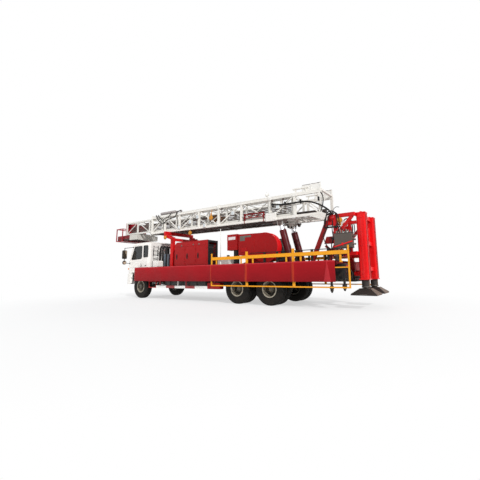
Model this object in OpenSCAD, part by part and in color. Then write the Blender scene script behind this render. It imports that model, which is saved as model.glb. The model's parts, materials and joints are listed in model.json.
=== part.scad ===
// Truck-mounted workover rig. Millimetres, +X towards the cab, +Y to the left, +Z up.
// Lengths along X are counted from the middle of the rear tandem, on the ground,
// and place() moves the whole rig so that the origin is under the middle of its box.

/* [Wheels] */
// Radius of a tyre
tyre_r = 540; // [500:5:560]
// Width of a tyre
tyre_w = 293; // [260:1:310]
// Radius of the rim's barrel, where the tyre seats
rim_r = 257; // [240:1:270]
// Distance from the front axle to the first rear axle
wheelbase = 5750; // [5400:10:6200]
// Distance between the two rear axles
tandem = 1350; // [1250:10:1450]
// Middle of a front tyre, from the rig's middle
front_track = 1023; // [1000:1:1060]
// Middle of a rear outer tyre, from the rig's middle
rear_track = 1073; // [1050:1:1110]
// Distance between the middles of twin tyres
twin_pitch = 340; // [325:1:350]
// Kingpin, from the rig's middle
kingpin_y = 860; // [840:1:870]

/* [Chassis] */
// Outer half width over the chassis rails
rail_y = 430; // [400:5:450]
// Height of the chassis rails' lower face
rail_z = 780; // [760:5:800]
// Height of a chassis rail's section
rail_h = 300; // [260:5:320]
// Flange width of a chassis rail
rail_flange = 90; // [70:5:110]
// Wall of a chassis rail
rail_wall = 12; // [8:1:20]
// Rear end of the chassis rails
rail_x0 = -3250; // [-3400:10:-3100]
// Front end of the chassis rails
rail_x1 = 7250; // [7100:10:7300]
// Height of the subframe's beams
sub_h = 320; // [280:10:340]
// Width of a subframe beam
sub_w = 100; // [80:5:110]
// Thickness of the deck plate
deck_t = 12; // [8:1:20]
// Half width of the deck
deck_y = 1250; // [1200:5:1270]
// Rear end of the deck
deck_x0 = -3020; // [-3100:10:-2950]
// Front end of the deck
deck_x1 = 5640; // [5500:10:5700]

/* [Cab] */
// Half width of the cab
cab_y = 1200; // [1150:5:1220]
// Rear face of the cab
cab_x0 = 5840; // [5800:5:5900]
// Front face of the cab
cab_x1 = 7470; // [7450:5:7500]
// Underside of the cab
cab_z0 = 1200; // [1190:5:1220]
// Top of the cab's roof
cab_z1 = 2630; // [2600:5:2650]
// Thickness of the cab's walls and doors
cab_wall = 45; // [35:1:60]
// Gap round a door
door_gap = 6; // [5:1:10]
// Height of the cab doors' feet above the cloth's top edge
door_clear = 12; // [8:1:20]
// Thickness of the window glass
glass_t = 6; // [4:1:8]

/* [Mast] */
// Mast pivot, along the rig
mast_x = -2750; // [-2770:5:-2730]
// Mast pivot, height
mast_z = 2750; // [2740:5:2780]
// Slope at which the mast lies, in degrees
mast_lie = 0.9; // [0.5:0.1:1.2]
// Half width of the outer section
mast_y = 620; // [600:5:630]
// Low chords' underside above the pivot
mast_w0 = 200; // [190:5:210]
// Top chords' upper face above the pivot
mast_w1 = 1050; // [1000:5:1100]
// Rear end of the outer section, from the pivot
mast_u0 = 380; // [360:5:400]
// Front end of the outer section, from the pivot
mast_u1 = 9300; // [9200:10:9400]
// Side of an outer chord
chord = 90; // [80:1:100]
// Side of an inner chord
inner_chord = 76; // [60:1:80]
// Gap between inner and outer section
mast_gap = 24; // [15:1:40]
// Rear end of the inner section, from the pivot
inner_u0 = 1450; // [1400:10:1600]
// Front end of the inner section, from the pivot
inner_u1 = 11650; // [11600:10:11700]
// Radius of the mast's pivot pin
pivot_r = 45; // [40:1:50]

/* [Raising cylinders] */
// Base pin, along the rig
ram_x = -1200; // [-1220:5:-1180]
// Base pin, height
ram_z = 1225; // [1215:1:1235]
// Eye on the mast, along the mast from the pivot
ram_u = 1960; // [1940:5:1980]
// Eye on the mast, above the pivot
ram_w = 40; // [30:1:50]
// Middle of a cylinder, from the rig's middle
ram_y = 460; // [455:1:465]
// Radius of a barrel
ram_r = 125; // [115:1:125]

/* [Rear jacks] */
// Middle of a column, along the rig
jack_x = -3605; // [-3630:5:-3600]
// Middle of a column, from the rig's middle
jack_y = 550; // [500:5:600]
// Side of a column
jack_side = 270; // [250:5:280]
// Lower end of the columns
jack_z0 = 840; // [800:5:880]
// Upper end of the columns
jack_z1 = 2860; // [2800:5:2900]
// Side of a foot pad
pad_side = 720; // [600:10:800]
// Underside of a foot pad, as parked
pad_z = 400; // [390:5:450]

/* [Deck gear] */
// Rear end of the power cabinet
cabinet_x0 = 2290; // [2250:5:2330]
// Front end of the power cabinet
cabinet_x1 = 4280; // [4240:5:4320]
// Left face of the power cabinet
cabinet_y = 1000; // [980:5:1020]
// Depth of the power cabinet
cabinet_depth = 600; // [560:5:640]
// Top of the power cabinet
cabinet_z = 2450; // [2400:5:2480]
// Thickness of the cabinet's walls and doors
cabinet_wall = 30; // [25:1:40]
// Winch shaft, along the rig
winch_x = -330; // [-350:5:-310]
// Winch shaft, height
winch_z = 1980; // [1970:5:2000]
// Radius of the chain guard's round end
guard_r = 530; // [500:5:550]
// Inner face of the chain guard, from the rig's middle
guard_y = 610; // [600:5:650]
// Width of the chain guard
guard_w = 290; // [250:5:300]
// Radius of the winch drum
drum_r = 260; // [230:5:280]
// Radius of the drum's flanges
drum_flange_r = 430; // [400:5:440]

/* [Rails and cloth] */
// Inner face of the guard rails, from the rig's middle
rails_y = 1340; // [1330:5:1350]
// Side of a guard rail's tube
rails_tube = 40; // [30:1:45]
// Lower edge of the guard rails, folded down
rails_z0 = 620; // [600:5:640]
// Upper end of the guard rails' posts
rails_z1 = 1820; // [1800:5:1840]
// Gap between the guard rails and the cloth
cloth_gap = 0.3; // [0.2:0.1:5]
// Thickness of the cloth's solid
cloth_t = 6; // [4:1:8]
// Rear edge of the cloth
cloth_x0 = -2990; // [-3100:10:-2900]
// Front edge of the cloth
cloth_x1 = 6630; // [6500:10:6650]
// Lower edge of the cloth
cloth_z0 = 790; // [780:5:820]
// Upper edge of the cloth
cloth_z1 = 1420; // [1400:5:1440]

/* [Hidden] */
$fn = 48;

// Clearances
fit = 0.05;
seat = 0.3;

// Places worked out from the sizes above
axle_1 = tandem / 2;
axle_2 = -tandem / 2;
axle_f = axle_1 + wheelbase;
rail_top = rail_z + rail_h;
sub_top = rail_top + sub_h;
deck_z = sub_top + deck_t;
spindle_r = 45;
crown_u1 = inner_u1 + 620;
crown_w0 = -30;
crown_w1 = 640;
mast_front = mast_x + crown_u1 * cos(mast_lie) - crown_w0 * sin(mast_lie);
rig_rear = jack_x - pad_side / 2;
x_mid = (mast_front + rig_rear) / 2;

// Moves the whole rig to its origin
module place() { translate([-x_mid, 0, 0]) children(); }

// Draws its children on both sides of the rig
module both() { children(); mirror([0, 1, 0]) children(); }

// A frame along the mast: u forward from the pivot, w up
module on_mast() { translate([mast_x, 0, mast_z]) rotate([0, -mast_lie, 0]) children(); }

// A block between two corners
module block(a, b) { translate(a) cube(b - a); }

// A square bar of side s between two points
module bar(a, b, s) {
    d = b - a;
    translate(a) rotate([0, acos(d[2] / norm(d)), atan2(d[1], d[0])])
        translate([-s / 2, -s / 2, 0]) cube([s, s, norm(d)]);
}

// A round bar of radius r between two points
module rod(a, b, r) {
    d = b - a;
    translate(a) rotate([0, acos(d[2] / norm(d)), atan2(d[1], d[0])]) cylinder(r = r, h = norm(d));
}

// A shape drawn in X and Z, w thick in Y from y
module side_plate(y, w) { translate([0, y + w, 0]) rotate([90, 0, 0]) linear_extrude(w) children(); }

// A cylinder along Y, from y, w long
module across(x, y, z, r, w) { translate([x, y, z]) rotate([-90, 0, 0]) cylinder(r = r, h = w); }

// A profile of [radius, y] points turned about the Y axis at x, z
module turned(x, z) { translate([x, 0, z]) rotate([-90, 0, 0]) rotate_extrude($fn = 64) children(); }

// Rounded box shape: rectangle with corner radius r
module round_rect(x0, y0, x1, y1, r) {
    translate([x0 + r, y0]) square([x1 - x0 - 2 * r, y1 - y0]);
    translate([x0, y0 + r]) square([x1 - x0, y1 - y0 - 2 * r]);
    for (x = [x0 + r, x1 - r], y = [y0 + r, y1 - r]) translate([x, y]) circle(r = r);
}

// Chassis: two channel rails joined by cross members
cross_members = [-3150, -1900, 0, 1900, 3600, 4900, 7150];
module chassis() {
    color("black") {
        both() difference() {
            block([rail_x0, rail_y - rail_flange, rail_z], [rail_x1, rail_y, rail_top]);
            block([rail_x0 - 1, rail_y - rail_flange - 1, rail_z + rail_wall],
                  [rail_x1 + 1, rail_y - rail_wall, rail_top - rail_wall]);
        }
        for (x = cross_members) difference() {
            block([x - 60, -rail_y + rail_wall - 1, rail_z + 30], [x + 60, rail_y - rail_wall + 1, rail_top - 30]);
            block([x - 48, -rail_y, rail_z + 42], [x + 61, rail_y, rail_top - 42]);
        }
        both() for (x = [2500, 4400]) block([x, rail_y - 1, rail_z + 40], [x + 80, tank_y - seat, rail_z + 120]);
        tow_bar();
    }
}

// Inner face of the side tanks
tank_y = 560;

// Rear tow bar with two pin bores, behind the last cross member
tow_x = rail_x0 - 20;
tow_y = 300;
tow_pin_r = 25;
module tow_bar() {
    block([rail_x0 - 20, -rail_y, rail_z], [rail_x0, rail_y, rail_z + 180]);
    both() difference() {
        for (z = [rail_z + 30, rail_z + 110]) block([tow_x - 90, tow_y - 60, z], [tow_x, tow_y + 60, z + 30]);
        translate([tow_x - 45, tow_y, rail_z - 1]) cylinder(r = tow_pin_r, h = 200);
    }
}

// Subframe: two box beams on the rails, with outriggers that carry the deck
outriggers = [-2950, -2050, -1560, -700, 300, 1250, 2250, 3250, 4250, 5200];
sub_y = 320;
ram_lug = 26;
module subframe() {
    color("darkred") {
        both() block([rail_x0, sub_y - sub_w, rail_top], [5560, sub_y, sub_top]);
        for (x = outriggers) {
            block([x - 40, -deck_y + 60, sub_top - 110], [x + 40, deck_y - 60, sub_top]);
        }
        both() block([deck_x0 + 20, deck_y - 60, sub_top - 110], [deck_x1 - 100, deck_y, sub_top]);
        for (x = [-3200, -500, 2000, 4400]) block([x - 50, -sub_y + 10, rail_top + 40], [x + 50, sub_y - 10, sub_top - 40]);
        both() for (s = [-1, 1]) ram_base_ear(ram_y + s * (ram_lug / 2 + ram_head_w / 2 + 2) - ram_lug / 2);
        both() block([ram_x - 120, sub_y - 1, rail_top + seat], [ram_x + 120, ram_y + 90, rail_top + 12]);
    }
}

// Ear under a raising cylinder, with its pin
module ram_base_ear(y) {
    block([ram_x - 90, y, rail_top + 2], [ram_x + 90, y + ram_lug, ram_z]);
    across(ram_x, y, ram_z, 90, ram_lug);
    across(ram_x, ram_y - ram_head_w / 2 - 2 - ram_lug, ram_z, ram_pin_r, ram_head_w + 4 + 2 * ram_lug);
}

// Spring: a pack of leaves on its longest one, stacked up from z, or down where s is -1
leaf_t = 14;
module leaf_pack(x, y, z, half, leaves, s) {
    for (i = [0:leaves - 1]) {
        reach = half * (1 - 0.8 * i / leaves);
        z0 = z + leaf_t * (s > 0 ? i : -i - 1);
        block([x - reach, y - 45, z0], [x + reach, y + 45, z0 + leaf_t]);
    }
}

// Front axle: beam with kingpin bosses, under two springs
front_spring_y = 385;
module axle_front() {
    color("black") {
        block([axle_f - 55, -kingpin_y + 70, tyre_r - 60], [axle_f + 55, kingpin_y - 70, tyre_r + 40]);
        both() translate([axle_f, kingpin_y, tyre_r - 75]) difference() {
            union() {
                cylinder(r = 60, h = 150);
                translate([-55, -90, 10]) cube([110, 90, 105]);
            }
            translate([0, 0, -1]) cylinder(r = 25 + fit, h = 152);
        }
        both() leaf_pack(axle_f, front_spring_y, tyre_r + 40 + 6 * leaf_t, 780, 6, -1);
        both() for (s = [-1, 1]) {
            block([axle_f + s * 740 - 30, front_spring_y - 45, tyre_r + 124], [axle_f + s * 740 + 30, front_spring_y + 45, rail_z]);
        }
    }
}

// Rear axles: housings with a round middle, on equalising springs
rear_spring_y = 470;
banjo_r = 215;
function axle_half(s) = [[0, s * (rear_hub_y + 200)], [spindle_r, s * (rear_hub_y + 200)], [spindle_r, s * rear_hub_y],
                         [75, s * rear_hub_y], [75, s * 260], [150, s * 180], [banjo_r, s * 90]];
module axles_rear() {
    color("black") {
        for (x = [axle_1, axle_2]) {
            turned(x, tyre_r) polygon(concat(axle_half(1), [for (i = [len(axle_half(1)) - 1:-1:0]) axle_half(-1)[i]]));
            both() block([x - 70, rear_spring_y - 60, tyre_r + 40], [x + 70, rear_spring_y + 60, tyre_r + 110]);
        }
        both() leaf_pack(0, rear_spring_y, tyre_r + 110, axle_1 + 90, 9, 1);
        both() block([-110, rail_y, tyre_r + 236], [110, rear_spring_y + 60, rail_z + 60]);
        both() block([-60, rail_y, rail_z - 100], [60, rail_y + 30, rail_z + 60]);
    }
}

// Engine, gearbox and shafts: plain masses between the rails
module driveline() {
    color("dimgray") {
        block([5900, -300, 700], [7000, 300, 1180]);
        block([5250, -200, 660], [5900, 200, 1060]);
        across_x(axle_1 + banjo_r + seat, 0, tyre_r, 80, 60);
        rod([axle_1 + banjo_r + 40, 0, tyre_r], [5270, 0, 745], 55);
        across_x(axle_2 + banjo_r + seat, 0, tyre_r, 55, tandem - 2 * banjo_r - 2 * seat);
    }
}

// Tyre section: [radius, y] points from bead to bead, about y
tyre_side = [[0, 0.36], [0.06, 0.40], [0.26, 0.48], [0.50, 0.5], [0.75, 0.49], [0.91, 0.44], [0.97, 0.38], [1, 0.28]];
function tyre_point(p, s, y) = [rim_r + seat + p[0] * (tyre_r - rim_r - seat), y + s * p[1] * tyre_w];
module tyre(x, y) {
    last = len(tyre_side) - 1;
    turned(x, tyre_r) polygon(concat([for (p = tyre_side) tyre_point(p, 1, y)],
                                     [for (i = [last:-1:0]) tyre_point(tyre_side[i], -1, y)]));
}

// Rim barrel with flanges that hold the tyre's beads
bead_y = 0.41;
module rim_barrel(x, y) {
    half = bead_y * tyre_w;
    turned(x, tyre_r) polygon([[rim_r - 14, y - half - 14], [rim_r + 20, y - half - 14], [rim_r + 20, y - half - 2],
                               [rim_r, y - half], [rim_r, y + half], [rim_r + 20, y + half + 2],
                               [rim_r + 20, y + half + 14], [rim_r - 14, y + half + 14]]);
}

// Hand holes round a wheel disc
module hand_holes(x, y, ring, r) {
    for (i = [0:7]) rotate_about(x, tyre_r, i * 45) across(x + ring, y - 100, tyre_r, r, 200);
}
module rotate_about(x, z, a) { translate([x, 0, z]) rotate([0, a, 0]) translate([-x, 0, -z]) children(); }

// Front wheel: convex disc and a hub that turns on the knuckle's spindle
module rim_front(x) {
    y = front_track;
    color("silver") {
        rim_barrel(x, y);
        difference() {
            turned(x, tyre_r) polygon([[spindle_r + fit, y - 60], [120, y - 60], [120, y + 40], [rim_r - 7, y - 20],
                                       [rim_r - 7, y - 4], [150, y + 62], [110, y + 70], [95, y + 130], [60, y + 140],
                                       [0, y + 140], [0, y + 100], [spindle_r + fit, y + 100]]);
            hand_holes(x, y + 20, 195, 28);
        }
    }
}

// Rear twin wheel: two barrels, dished discs bolted together and a hub
rear_mid = rear_track - twin_pitch / 2;
rear_hub_y = rear_mid - 130;
module rim_rear(x) {
    m = rear_mid;
    color("silver") {
        rim_barrel(x, rear_track);
        rim_barrel(x, rear_track - twin_pitch);
        difference() {
            turned(x, tyre_r) polygon([[spindle_r + fit, m - 120], [120, m - 120], [130, m - 14], [190, m - 14],
                                       [rim_r - 7, m - 70], [rim_r - 7, m - 56], [200, m], [rim_r - 7, m + 56],
                                       [rim_r - 7, m + 70], [190, m + 14], [130, m + 14], [120, m + 150],
                                       [70, m + 190], [0, m + 190], [0, m + 100], [spindle_r + fit, m + 100]]);
            hand_holes(x, m, 223, 14);
        }
    }
}

// Steering knuckle: fork round the axle's boss, kingpin, spindle and steering arm
module knuckle() {
    color("black") {
        translate([axle_f, kingpin_y, 0]) {
            for (z = [tyre_r - 75 - 41, tyre_r + 75 + 1]) translate([0, 0, z]) {
                cylinder(r = 55, h = 40);
                translate([-50, 0, 0]) cube([100, 100, 40]);
            }
            translate([0, 0, tyre_r - 116]) cylinder(r = 25, h = 232);
            translate([-50, 64, tyre_r - 116]) cube([100, 36, 232]);
        }
        across(axle_f, kingpin_y + 99, tyre_r, spindle_r, front_track + 98 - kingpin_y - 99);
        block([axle_f - 320, kingpin_y - 60, tyre_r - 114], [axle_f - 50, kingpin_y - 20, tyre_r - 80]);
        block([axle_f - 100, kingpin_y - 60, tyre_r - 114], [axle_f - 20, kingpin_y + 40, tyre_r - 80]);
    }
}

// Cab shape: side outline [x, z], from the rear foot over the roof to the front foot
function cab_outline(i) = [
    [cab_x0 + i, cab_z0 + i], [cab_x0 + i, cab_z1 - 90 - i / 2], [cab_x0 + 90 + i / 2, cab_z1 - i],
    [cab_x1 - 570 - i / 2, cab_z1 - i], [cab_x1 - 450 - i, cab_z1 - 60 - i], [cab_x1 - 410 - i, cab_z1 - 120 - i],
    [cab_x1 - 110 - i, 1790], [cab_x1 - 30 - i, 1560], [cab_x1 - i, 1400], [cab_x1 - i, cab_z0 - 60 + i],
    [cab_x1 - 320, cab_z0 - 60 + i], [cab_x1 - 360, cab_z0 + i]];
module cab_solid(i) {
    intersection() {
        side_plate(-cab_y + i, 2 * (cab_y - i)) polygon(cab_outline(i));
        translate([0, 0, cab_z0 - 100]) linear_extrude(cab_z1)
            round_rect(cab_x0 + i, -cab_y + i, cab_x1 - i, cab_y - i, 140 - i);
        translate([cab_x0, 0, 0]) rotate([90, 0, 90]) linear_extrude(cab_x1 - cab_x0)
            round_rect(-cab_y + i, cab_z0 - 400 + i, cab_y - i, cab_z1 - i, 150 - i);
    }
}

// Outline of a cab door, grown by g. Its foot swings out above the cloth's top edge
door_z0 = cloth_z1 + door_clear;
function door_outline(g) = [[6300 - g, door_z0 - g], [7275 + g, door_z0 - g], [7255 + g, 1790], [6975 + g, 2490 + g],
                            [6300 - g, 2490 + g]];
// Windows [x, z]: door and rear quarter
door_window = [[6360, 1890], [6420, 1840], [7130, 1810], [7180, 1850], [6930, 2440], [6360, 2440]];
rear_window = [[5920, 1900], [6235, 1900], [6235, 2450], [5920, 2450]];
windscreen_z0 = 1800;
windscreen_z1 = 2480;

module cab() {
    color("white") {
        difference() {
            cab_solid(0);
            cab_solid(cab_wall);
            both() side_plate(cab_y - 200, 300) polygon(door_outline(door_gap));
            both() side_plate(cab_y - 200, 300) polygon(rear_window);
            windscreen_cut();
        }
        both() for (z = door_hinges)
            hinge_knuckle(door_hinge_x, door_hinge_y, z + hinge_h + seat, 50, cab_y - 1, 9, hinge_h);
    }
}
module windscreen_cut() {
    translate([6900, 0, 0]) rotate([90, 0, 90]) linear_extrude(700)
        round_rect(-cab_y + 130, windscreen_z0, cab_y - 130, windscreen_z1, 60);
}

// Windscreen and rear side windows, set within the walls
module cab_glass() {
    color("lightblue") {
        intersection() {
            difference() { cab_solid(12); cab_solid(12 + glass_t); }
            translate([6900, 0, 0]) rotate([90, 0, 90]) linear_extrude(700)
                round_rect(-cab_y + 130 + seat, windscreen_z0 + seat, cab_y - 130 - seat, windscreen_z1 - seat, 60);
        }
        both() block([rear_window[0][0] + seat, cab_y - 12 - glass_t, rear_window[0][1] + seat],
                     [rear_window[2][0] - seat, cab_y - 12, rear_window[2][1] - seat]);
    }
}

// Hinge knuckle on a vertical axis: a barrel with a tab that reaches dx to one side and in to y0
module hinge_knuckle(x, y, z, dx, y0, r, h) {
    translate([x, y, z]) cylinder(r = r, h = h);
    block([min(x + dx / 2, x + dx), y0, z], [max(x + dx / 2, x + dx), y, z + h]);
    block([min(x, x + dx / 2), y0 + 3, z], [max(x, x + dx / 2), y, z + h]);
}
door_hinge_x = 7275;
door_hinge_y = cab_y + 12;
door_hinges = [door_z0 + 50, 1700];
hinge_h = 40;

// Door on the left: the part of the cab's shell inside the door's outline
module cab_door() {
    color("white") {
        difference() {
            intersection() {
                difference() { cab_solid(0); cab_solid(cab_wall); }
                side_plate(cab_y - 100, 200) polygon(door_outline(0));
            }
            side_plate(cab_y - 200, 300) polygon(door_window);
        }
        block([6340, cab_y - 1, 1495], [6460, cab_y + 22, 1530]);
        for (z = door_hinges) hinge_knuckle(door_hinge_x, door_hinge_y, z, -50, cab_y - 1, 9, hinge_h);
    }
}
module cab_door_glass() {
    color("lightblue") side_plate(cab_y - 12 - glass_t, glass_t)
        polygon([for (p = door_window) [p[0] + seat * sign(6700 - p[0]), p[1] + seat * sign(2100 - p[1])]]);
}

// Seats, dashboard, steering wheel and rear bench
module cab_interior() {
    floor_z = cab_z0 + cab_wall;
    color("dimgray") {
        both() {
            block([6420, 330, floor_z], [6900, 850, floor_z + 330]);
            block([6330, 330, floor_z + 200], [6420, 850, floor_z + 930]);
        }
        block([5900, -1000, floor_z], [6160, 1000, floor_z + 300]);
        block([7060, -cab_y + 180, floor_z], [7240, cab_y - 180, floor_z + 430]);
        rod([7060, 590, floor_z + 380], [6940, 590, floor_z + 480], 22);
        translate([6940, 590, floor_z + 480]) rotate([0, -50, 0]) {
            rotate_extrude() translate([210, 0]) circle(r = 15, $fn = 16);
            for (a = [90, 210, 330]) rotate([0, 0, a]) translate([0, -12, -8]) cube([212, 24, 16]);
        }
    }
}

// Bumper with lamps and the grille panel below the windscreen
module bumper() {
    color("white") difference() {
        translate([0, 0, 640]) linear_extrude(cab_z0 - 60 - 640 - seat)
            round_rect(rail_x1 - 130, -cab_y, cab_x1 + 60, cab_y, 120);
        block([rail_x1 - 200, -cab_y + 60, 500], [cab_x1, cab_y - 60, 1300]);
        both() block([cab_x1 + 20, 760, 800], [cab_x1 + 80, 1060, 940]);
        block([cab_x1 + 20, -560, 700], [cab_x1 + 80, 560, 1000]);
    }
    color("black") {
        for (i = [0:5]) block([cab_x1 + 10, -560, 715 + i * 50], [cab_x1 + 44, 560, 735 + i * 50]);
        both() block([rail_x1, rail_y - 80, rail_z + 20], [cab_x1, rail_y, rail_z + 200]);
    }
    color("lightgray") both() across_x(cab_x1 + 20, 840, 870, 55, 30);
    color("lightgray") both() across_x(cab_x1 + 20, 980, 870, 55, 30);
}
module across_x(x, y, z, r, w) { translate([x, y, z]) rotate([0, 90, 0]) cylinder(r = r, h = w); }

// Mirrors on tube arms at the cab's front corners
mirror_y = 1550;
mirror_x = 7420;
module mirrors() {
    color("black") both() {
        for (foot = [[7055, 2420, 2380], [7300, 1640, 1660]]) {
            block([foot[0] - 25, cab_y + seat, foot[1] - 25], [foot[0] + 25, cab_y + 14, foot[1] + 25]);
            rod([foot[0], cab_y + 10, foot[1]], [mirror_x, mirror_y - 110, foot[2]], 12);
        }
        translate([mirror_x, mirror_y - 110, 1600]) cylinder(r = 15, h = 800);
        translate([mirror_x - 35, mirror_y - 220, 1860]) rotate([90, 0, 90]) linear_extrude(70)
            round_rect(0, 0, 220, 420, 50);
        across_x(mirror_x - 40, mirror_y - 110, 1680, 95, 50);
    }
}

// Mudguards over the front and rear wheels
module mudguards() {
    color("black") {
        both() block([axle_2 - 660, 580, tyre_r * 2 + 60], [axle_1 + 660, rear_track + tyre_w / 2 + 20, tyre_r * 2 + 66]);
        both() for (x = [axle_2 - 666, axle_1 + 660])
            block([x, 580, tyre_r * 2 - 260], [x + 6, rear_track + tyre_w / 2 + 20, tyre_r * 2 + 66]);
        both() for (x = [-700, 300]) block([x - 20, 620, tyre_r * 2 + 66], [x + 20, 700, sub_top - 110]);
    }
}

// Deck plates with openings for the raising cylinders
module deck() {
    color("black") difference() {
        block([deck_x0, -deck_y, sub_top], [deck_x1, deck_y, deck_z]);
        both() block([ram_x - 260, ram_y - 170, sub_top - 1], [ram_x + 260, ram_y + 150, deck_z + 1]);
    }
}

// White air tank with a rail, behind the cab on the left, and an oil tank on the right
module air_tank() {
    color("white") {
        side_plate(880, 300) round_rect(5200, deck_z, 5560, deck_z + 300, 70);
        for (x = [5200, 5560]) rod([x, 1160, deck_z + 60], [x, 1160, deck_z + 480], 12);
        rod([5188, 1160, deck_z + 480], [5572, 1160, deck_z + 480], 12);
    }
    color("silver") side_plate(-1150, 700) round_rect(2400, deck_z, 4200, deck_z + 430, 60);
}

// Air cleaner, exhaust and ladder in a stand behind the cab
module intake_stand() {
    color("black") {
        for (x = [5050, 5500], y = [300, 760]) block([x, y, deck_z], [x + 50, y + 50, deck_z + 950]);
        block([5050, 300, deck_z + 900], [5550, 810, deck_z + 950]);
        translate([5300, 555, deck_z]) cylinder(r = 170, h = 620);
        translate([5300, 555, deck_z + 600]) cylinder(r = 90, h = 250);
        translate([5200, -600, deck_z]) cylinder(r = 110, h = 700);
        translate([5200, -600, deck_z + 690]) cylinder(r = 60, h = 420);
    }
}

// Power cabinet: hollow housing with three doorways, a sloped front corner and an open grille
door_w = (cabinet_x1 - cabinet_x0 - 2 * cabinet_wall) / 3;
cabinet_in = cabinet_y - cabinet_depth;
function cabinet_outline(i) = [[cabinet_x0 + i, deck_z + i], [cabinet_x1 - i, deck_z + i],
    [cabinet_x1 - i, cabinet_z - 160], [cabinet_x1 - 120, cabinet_z - i], [cabinet_x0 + i, cabinet_z - i]];
function doorway_x(i) = cabinet_x0 + cabinet_wall + i * door_w;
module cabinet() {
    color("firebrick") {
        difference() {
            side_plate(cabinet_in, cabinet_depth) polygon(cabinet_outline(0));
            side_plate(cabinet_in + cabinet_wall, cabinet_depth - 2 * cabinet_wall) polygon(cabinet_outline(cabinet_wall));
            for (i = [0:2]) block([doorway_x(i) + 14, cabinet_y - 200, deck_z + 50],
                                  [doorway_x(i) + door_w - 14, cabinet_y + 1, cabinet_z - 190]);
            block([cabinet_x0 - 1, cabinet_in + 70, deck_z + 80], [cabinet_x0 + 200, cabinet_y - 70, cabinet_z - 80]);
        }
    }
    color("firebrick") for (i = [0:2], z = cabinet_hinges) cabinet_hinge(i, z + hinge_h + seat, -26);
    color("black") for (i = [0:11])
        block([cabinet_x0 + 4, cabinet_in + 69, deck_z + 100 + i * 66], [cabinet_x0 + 24, cabinet_y - 69, deck_z + 130 + i * 66]);
}
cabinet_hinges = [1600, 2100];
module cabinet_hinge(i, z, dx) {
    hinge_knuckle(doorway_x(i) + 14 + door_gap, cabinet_y + 14, z, dx, cabinet_y - (dx > 0 ? -3 : 1), 8, hinge_h);
}
module power_unit() {
    color("dimgray") block([cabinet_x0 + 200, cabinet_in + 60, deck_z + cabinet_wall],
                           [cabinet_x1 - 200, cabinet_y - 100, cabinet_z - 140]);
}
module cabinet_door(i) {
    x0 = doorway_x(i) + 14 + door_gap;
    x1 = doorway_x(i) + door_w - 14 - door_gap;
    color("firebrick") {
        block([x0, cabinet_y - cabinet_wall + 4, deck_z + 50 + door_gap], [x1, cabinet_y + 4, cabinet_z - 190 - door_gap]);
        block([x1 - 120, cabinet_y + 3, 1790], [x1 - 90, cabinet_y + 30, 1890]);
        for (z = cabinet_hinges) cabinet_hinge(i, z, 30);
    }
}

// Drawworks: chain guard with a round end, gear box in front, shaft supports
guard_x1 = 820;
box_x0 = 880;
box_x1 = 1370;
module drawworks() {
    shaft_r = 50;
    color("firebrick") {
        difference() {
            side_plate(guard_y, guard_w) {
                translate([winch_x, winch_z]) circle(r = guard_r);
                polygon([[winch_x, winch_z - guard_r], [winch_x, winch_z + guard_r], [guard_x1, winch_z + guard_r + 30],
                         [guard_x1, winch_z - 230], [400, winch_z - 260]]);
            }
            side_plate(guard_y - 1, guard_w - 59) {
                translate([winch_x, winch_z]) circle(r = guard_r - 60);
            }
        }
        block([guard_x1, 700, winch_z + 40], [box_x0, 860, winch_z + 460]);
        block([box_x0, 620, winch_z - 20], [box_x1, 900, winch_z + 590]);
        side_plate(-guard_y - 120, 120) difference() {
            union() {
                translate([winch_x, winch_z]) circle(r = 200);
                polygon([[winch_x - 320, deck_z], [winch_x + 320, deck_z], [winch_x + 190, winch_z], [winch_x - 190, winch_z]]);
            }
            translate([winch_x, winch_z]) circle(r = shaft_r + fit);
        }
    }
    color("black") {
        block([box_x0 + 60, 680, deck_z], [box_x0 + 200, 860, winch_z - 20]);
        block([winch_x - 200, guard_y + 20, deck_z], [winch_x + 500, guard_y + guard_w - 20, winch_z - guard_r + 40]);
    }
}

// Winch drum between two flanges, with its shaft
drum_y = 330;
module drum() {
    color("dimgray") {
        across(winch_x, -drum_y, winch_z, drum_r, 2 * drum_y);
        for (y = [-drum_y - 24, drum_y]) across(winch_x, y, winch_z, drum_flange_r, 24);
        across(winch_x, -guard_y - 140, winch_z, 50, 2 * guard_y + 200);
    }
}

// Front mast rest: portal with raking arms and a saddle under the mast
rest_x = 4650;
rest_y = 800;
saddle_u = 7900;
module front_rest() {
    color("red") {
        both() {
            block([rest_x - 80, rest_y - 70, deck_z], [rest_x + 80, rest_y + 70, 2760]);
            bar([rest_x, rest_y, 2700], [rest_x + 560, rest_y, 2900], 132);
        }
        on_mast() block([saddle_u - 60, -rest_y - 78, mast_w0 - 150], [saddle_u + 60, rest_y + 78, mast_w0 - seat]);
        block([rest_x - 60, -rest_y, 2600], [rest_x + 60, rest_y, 2720]);
    }
}

// A-frame: two braced side frames that carry the mast's pivot
frame_y = 700;
frame_w = 110;
link_x = jack_x + jack_side / 2 + 20 + seat;
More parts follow.
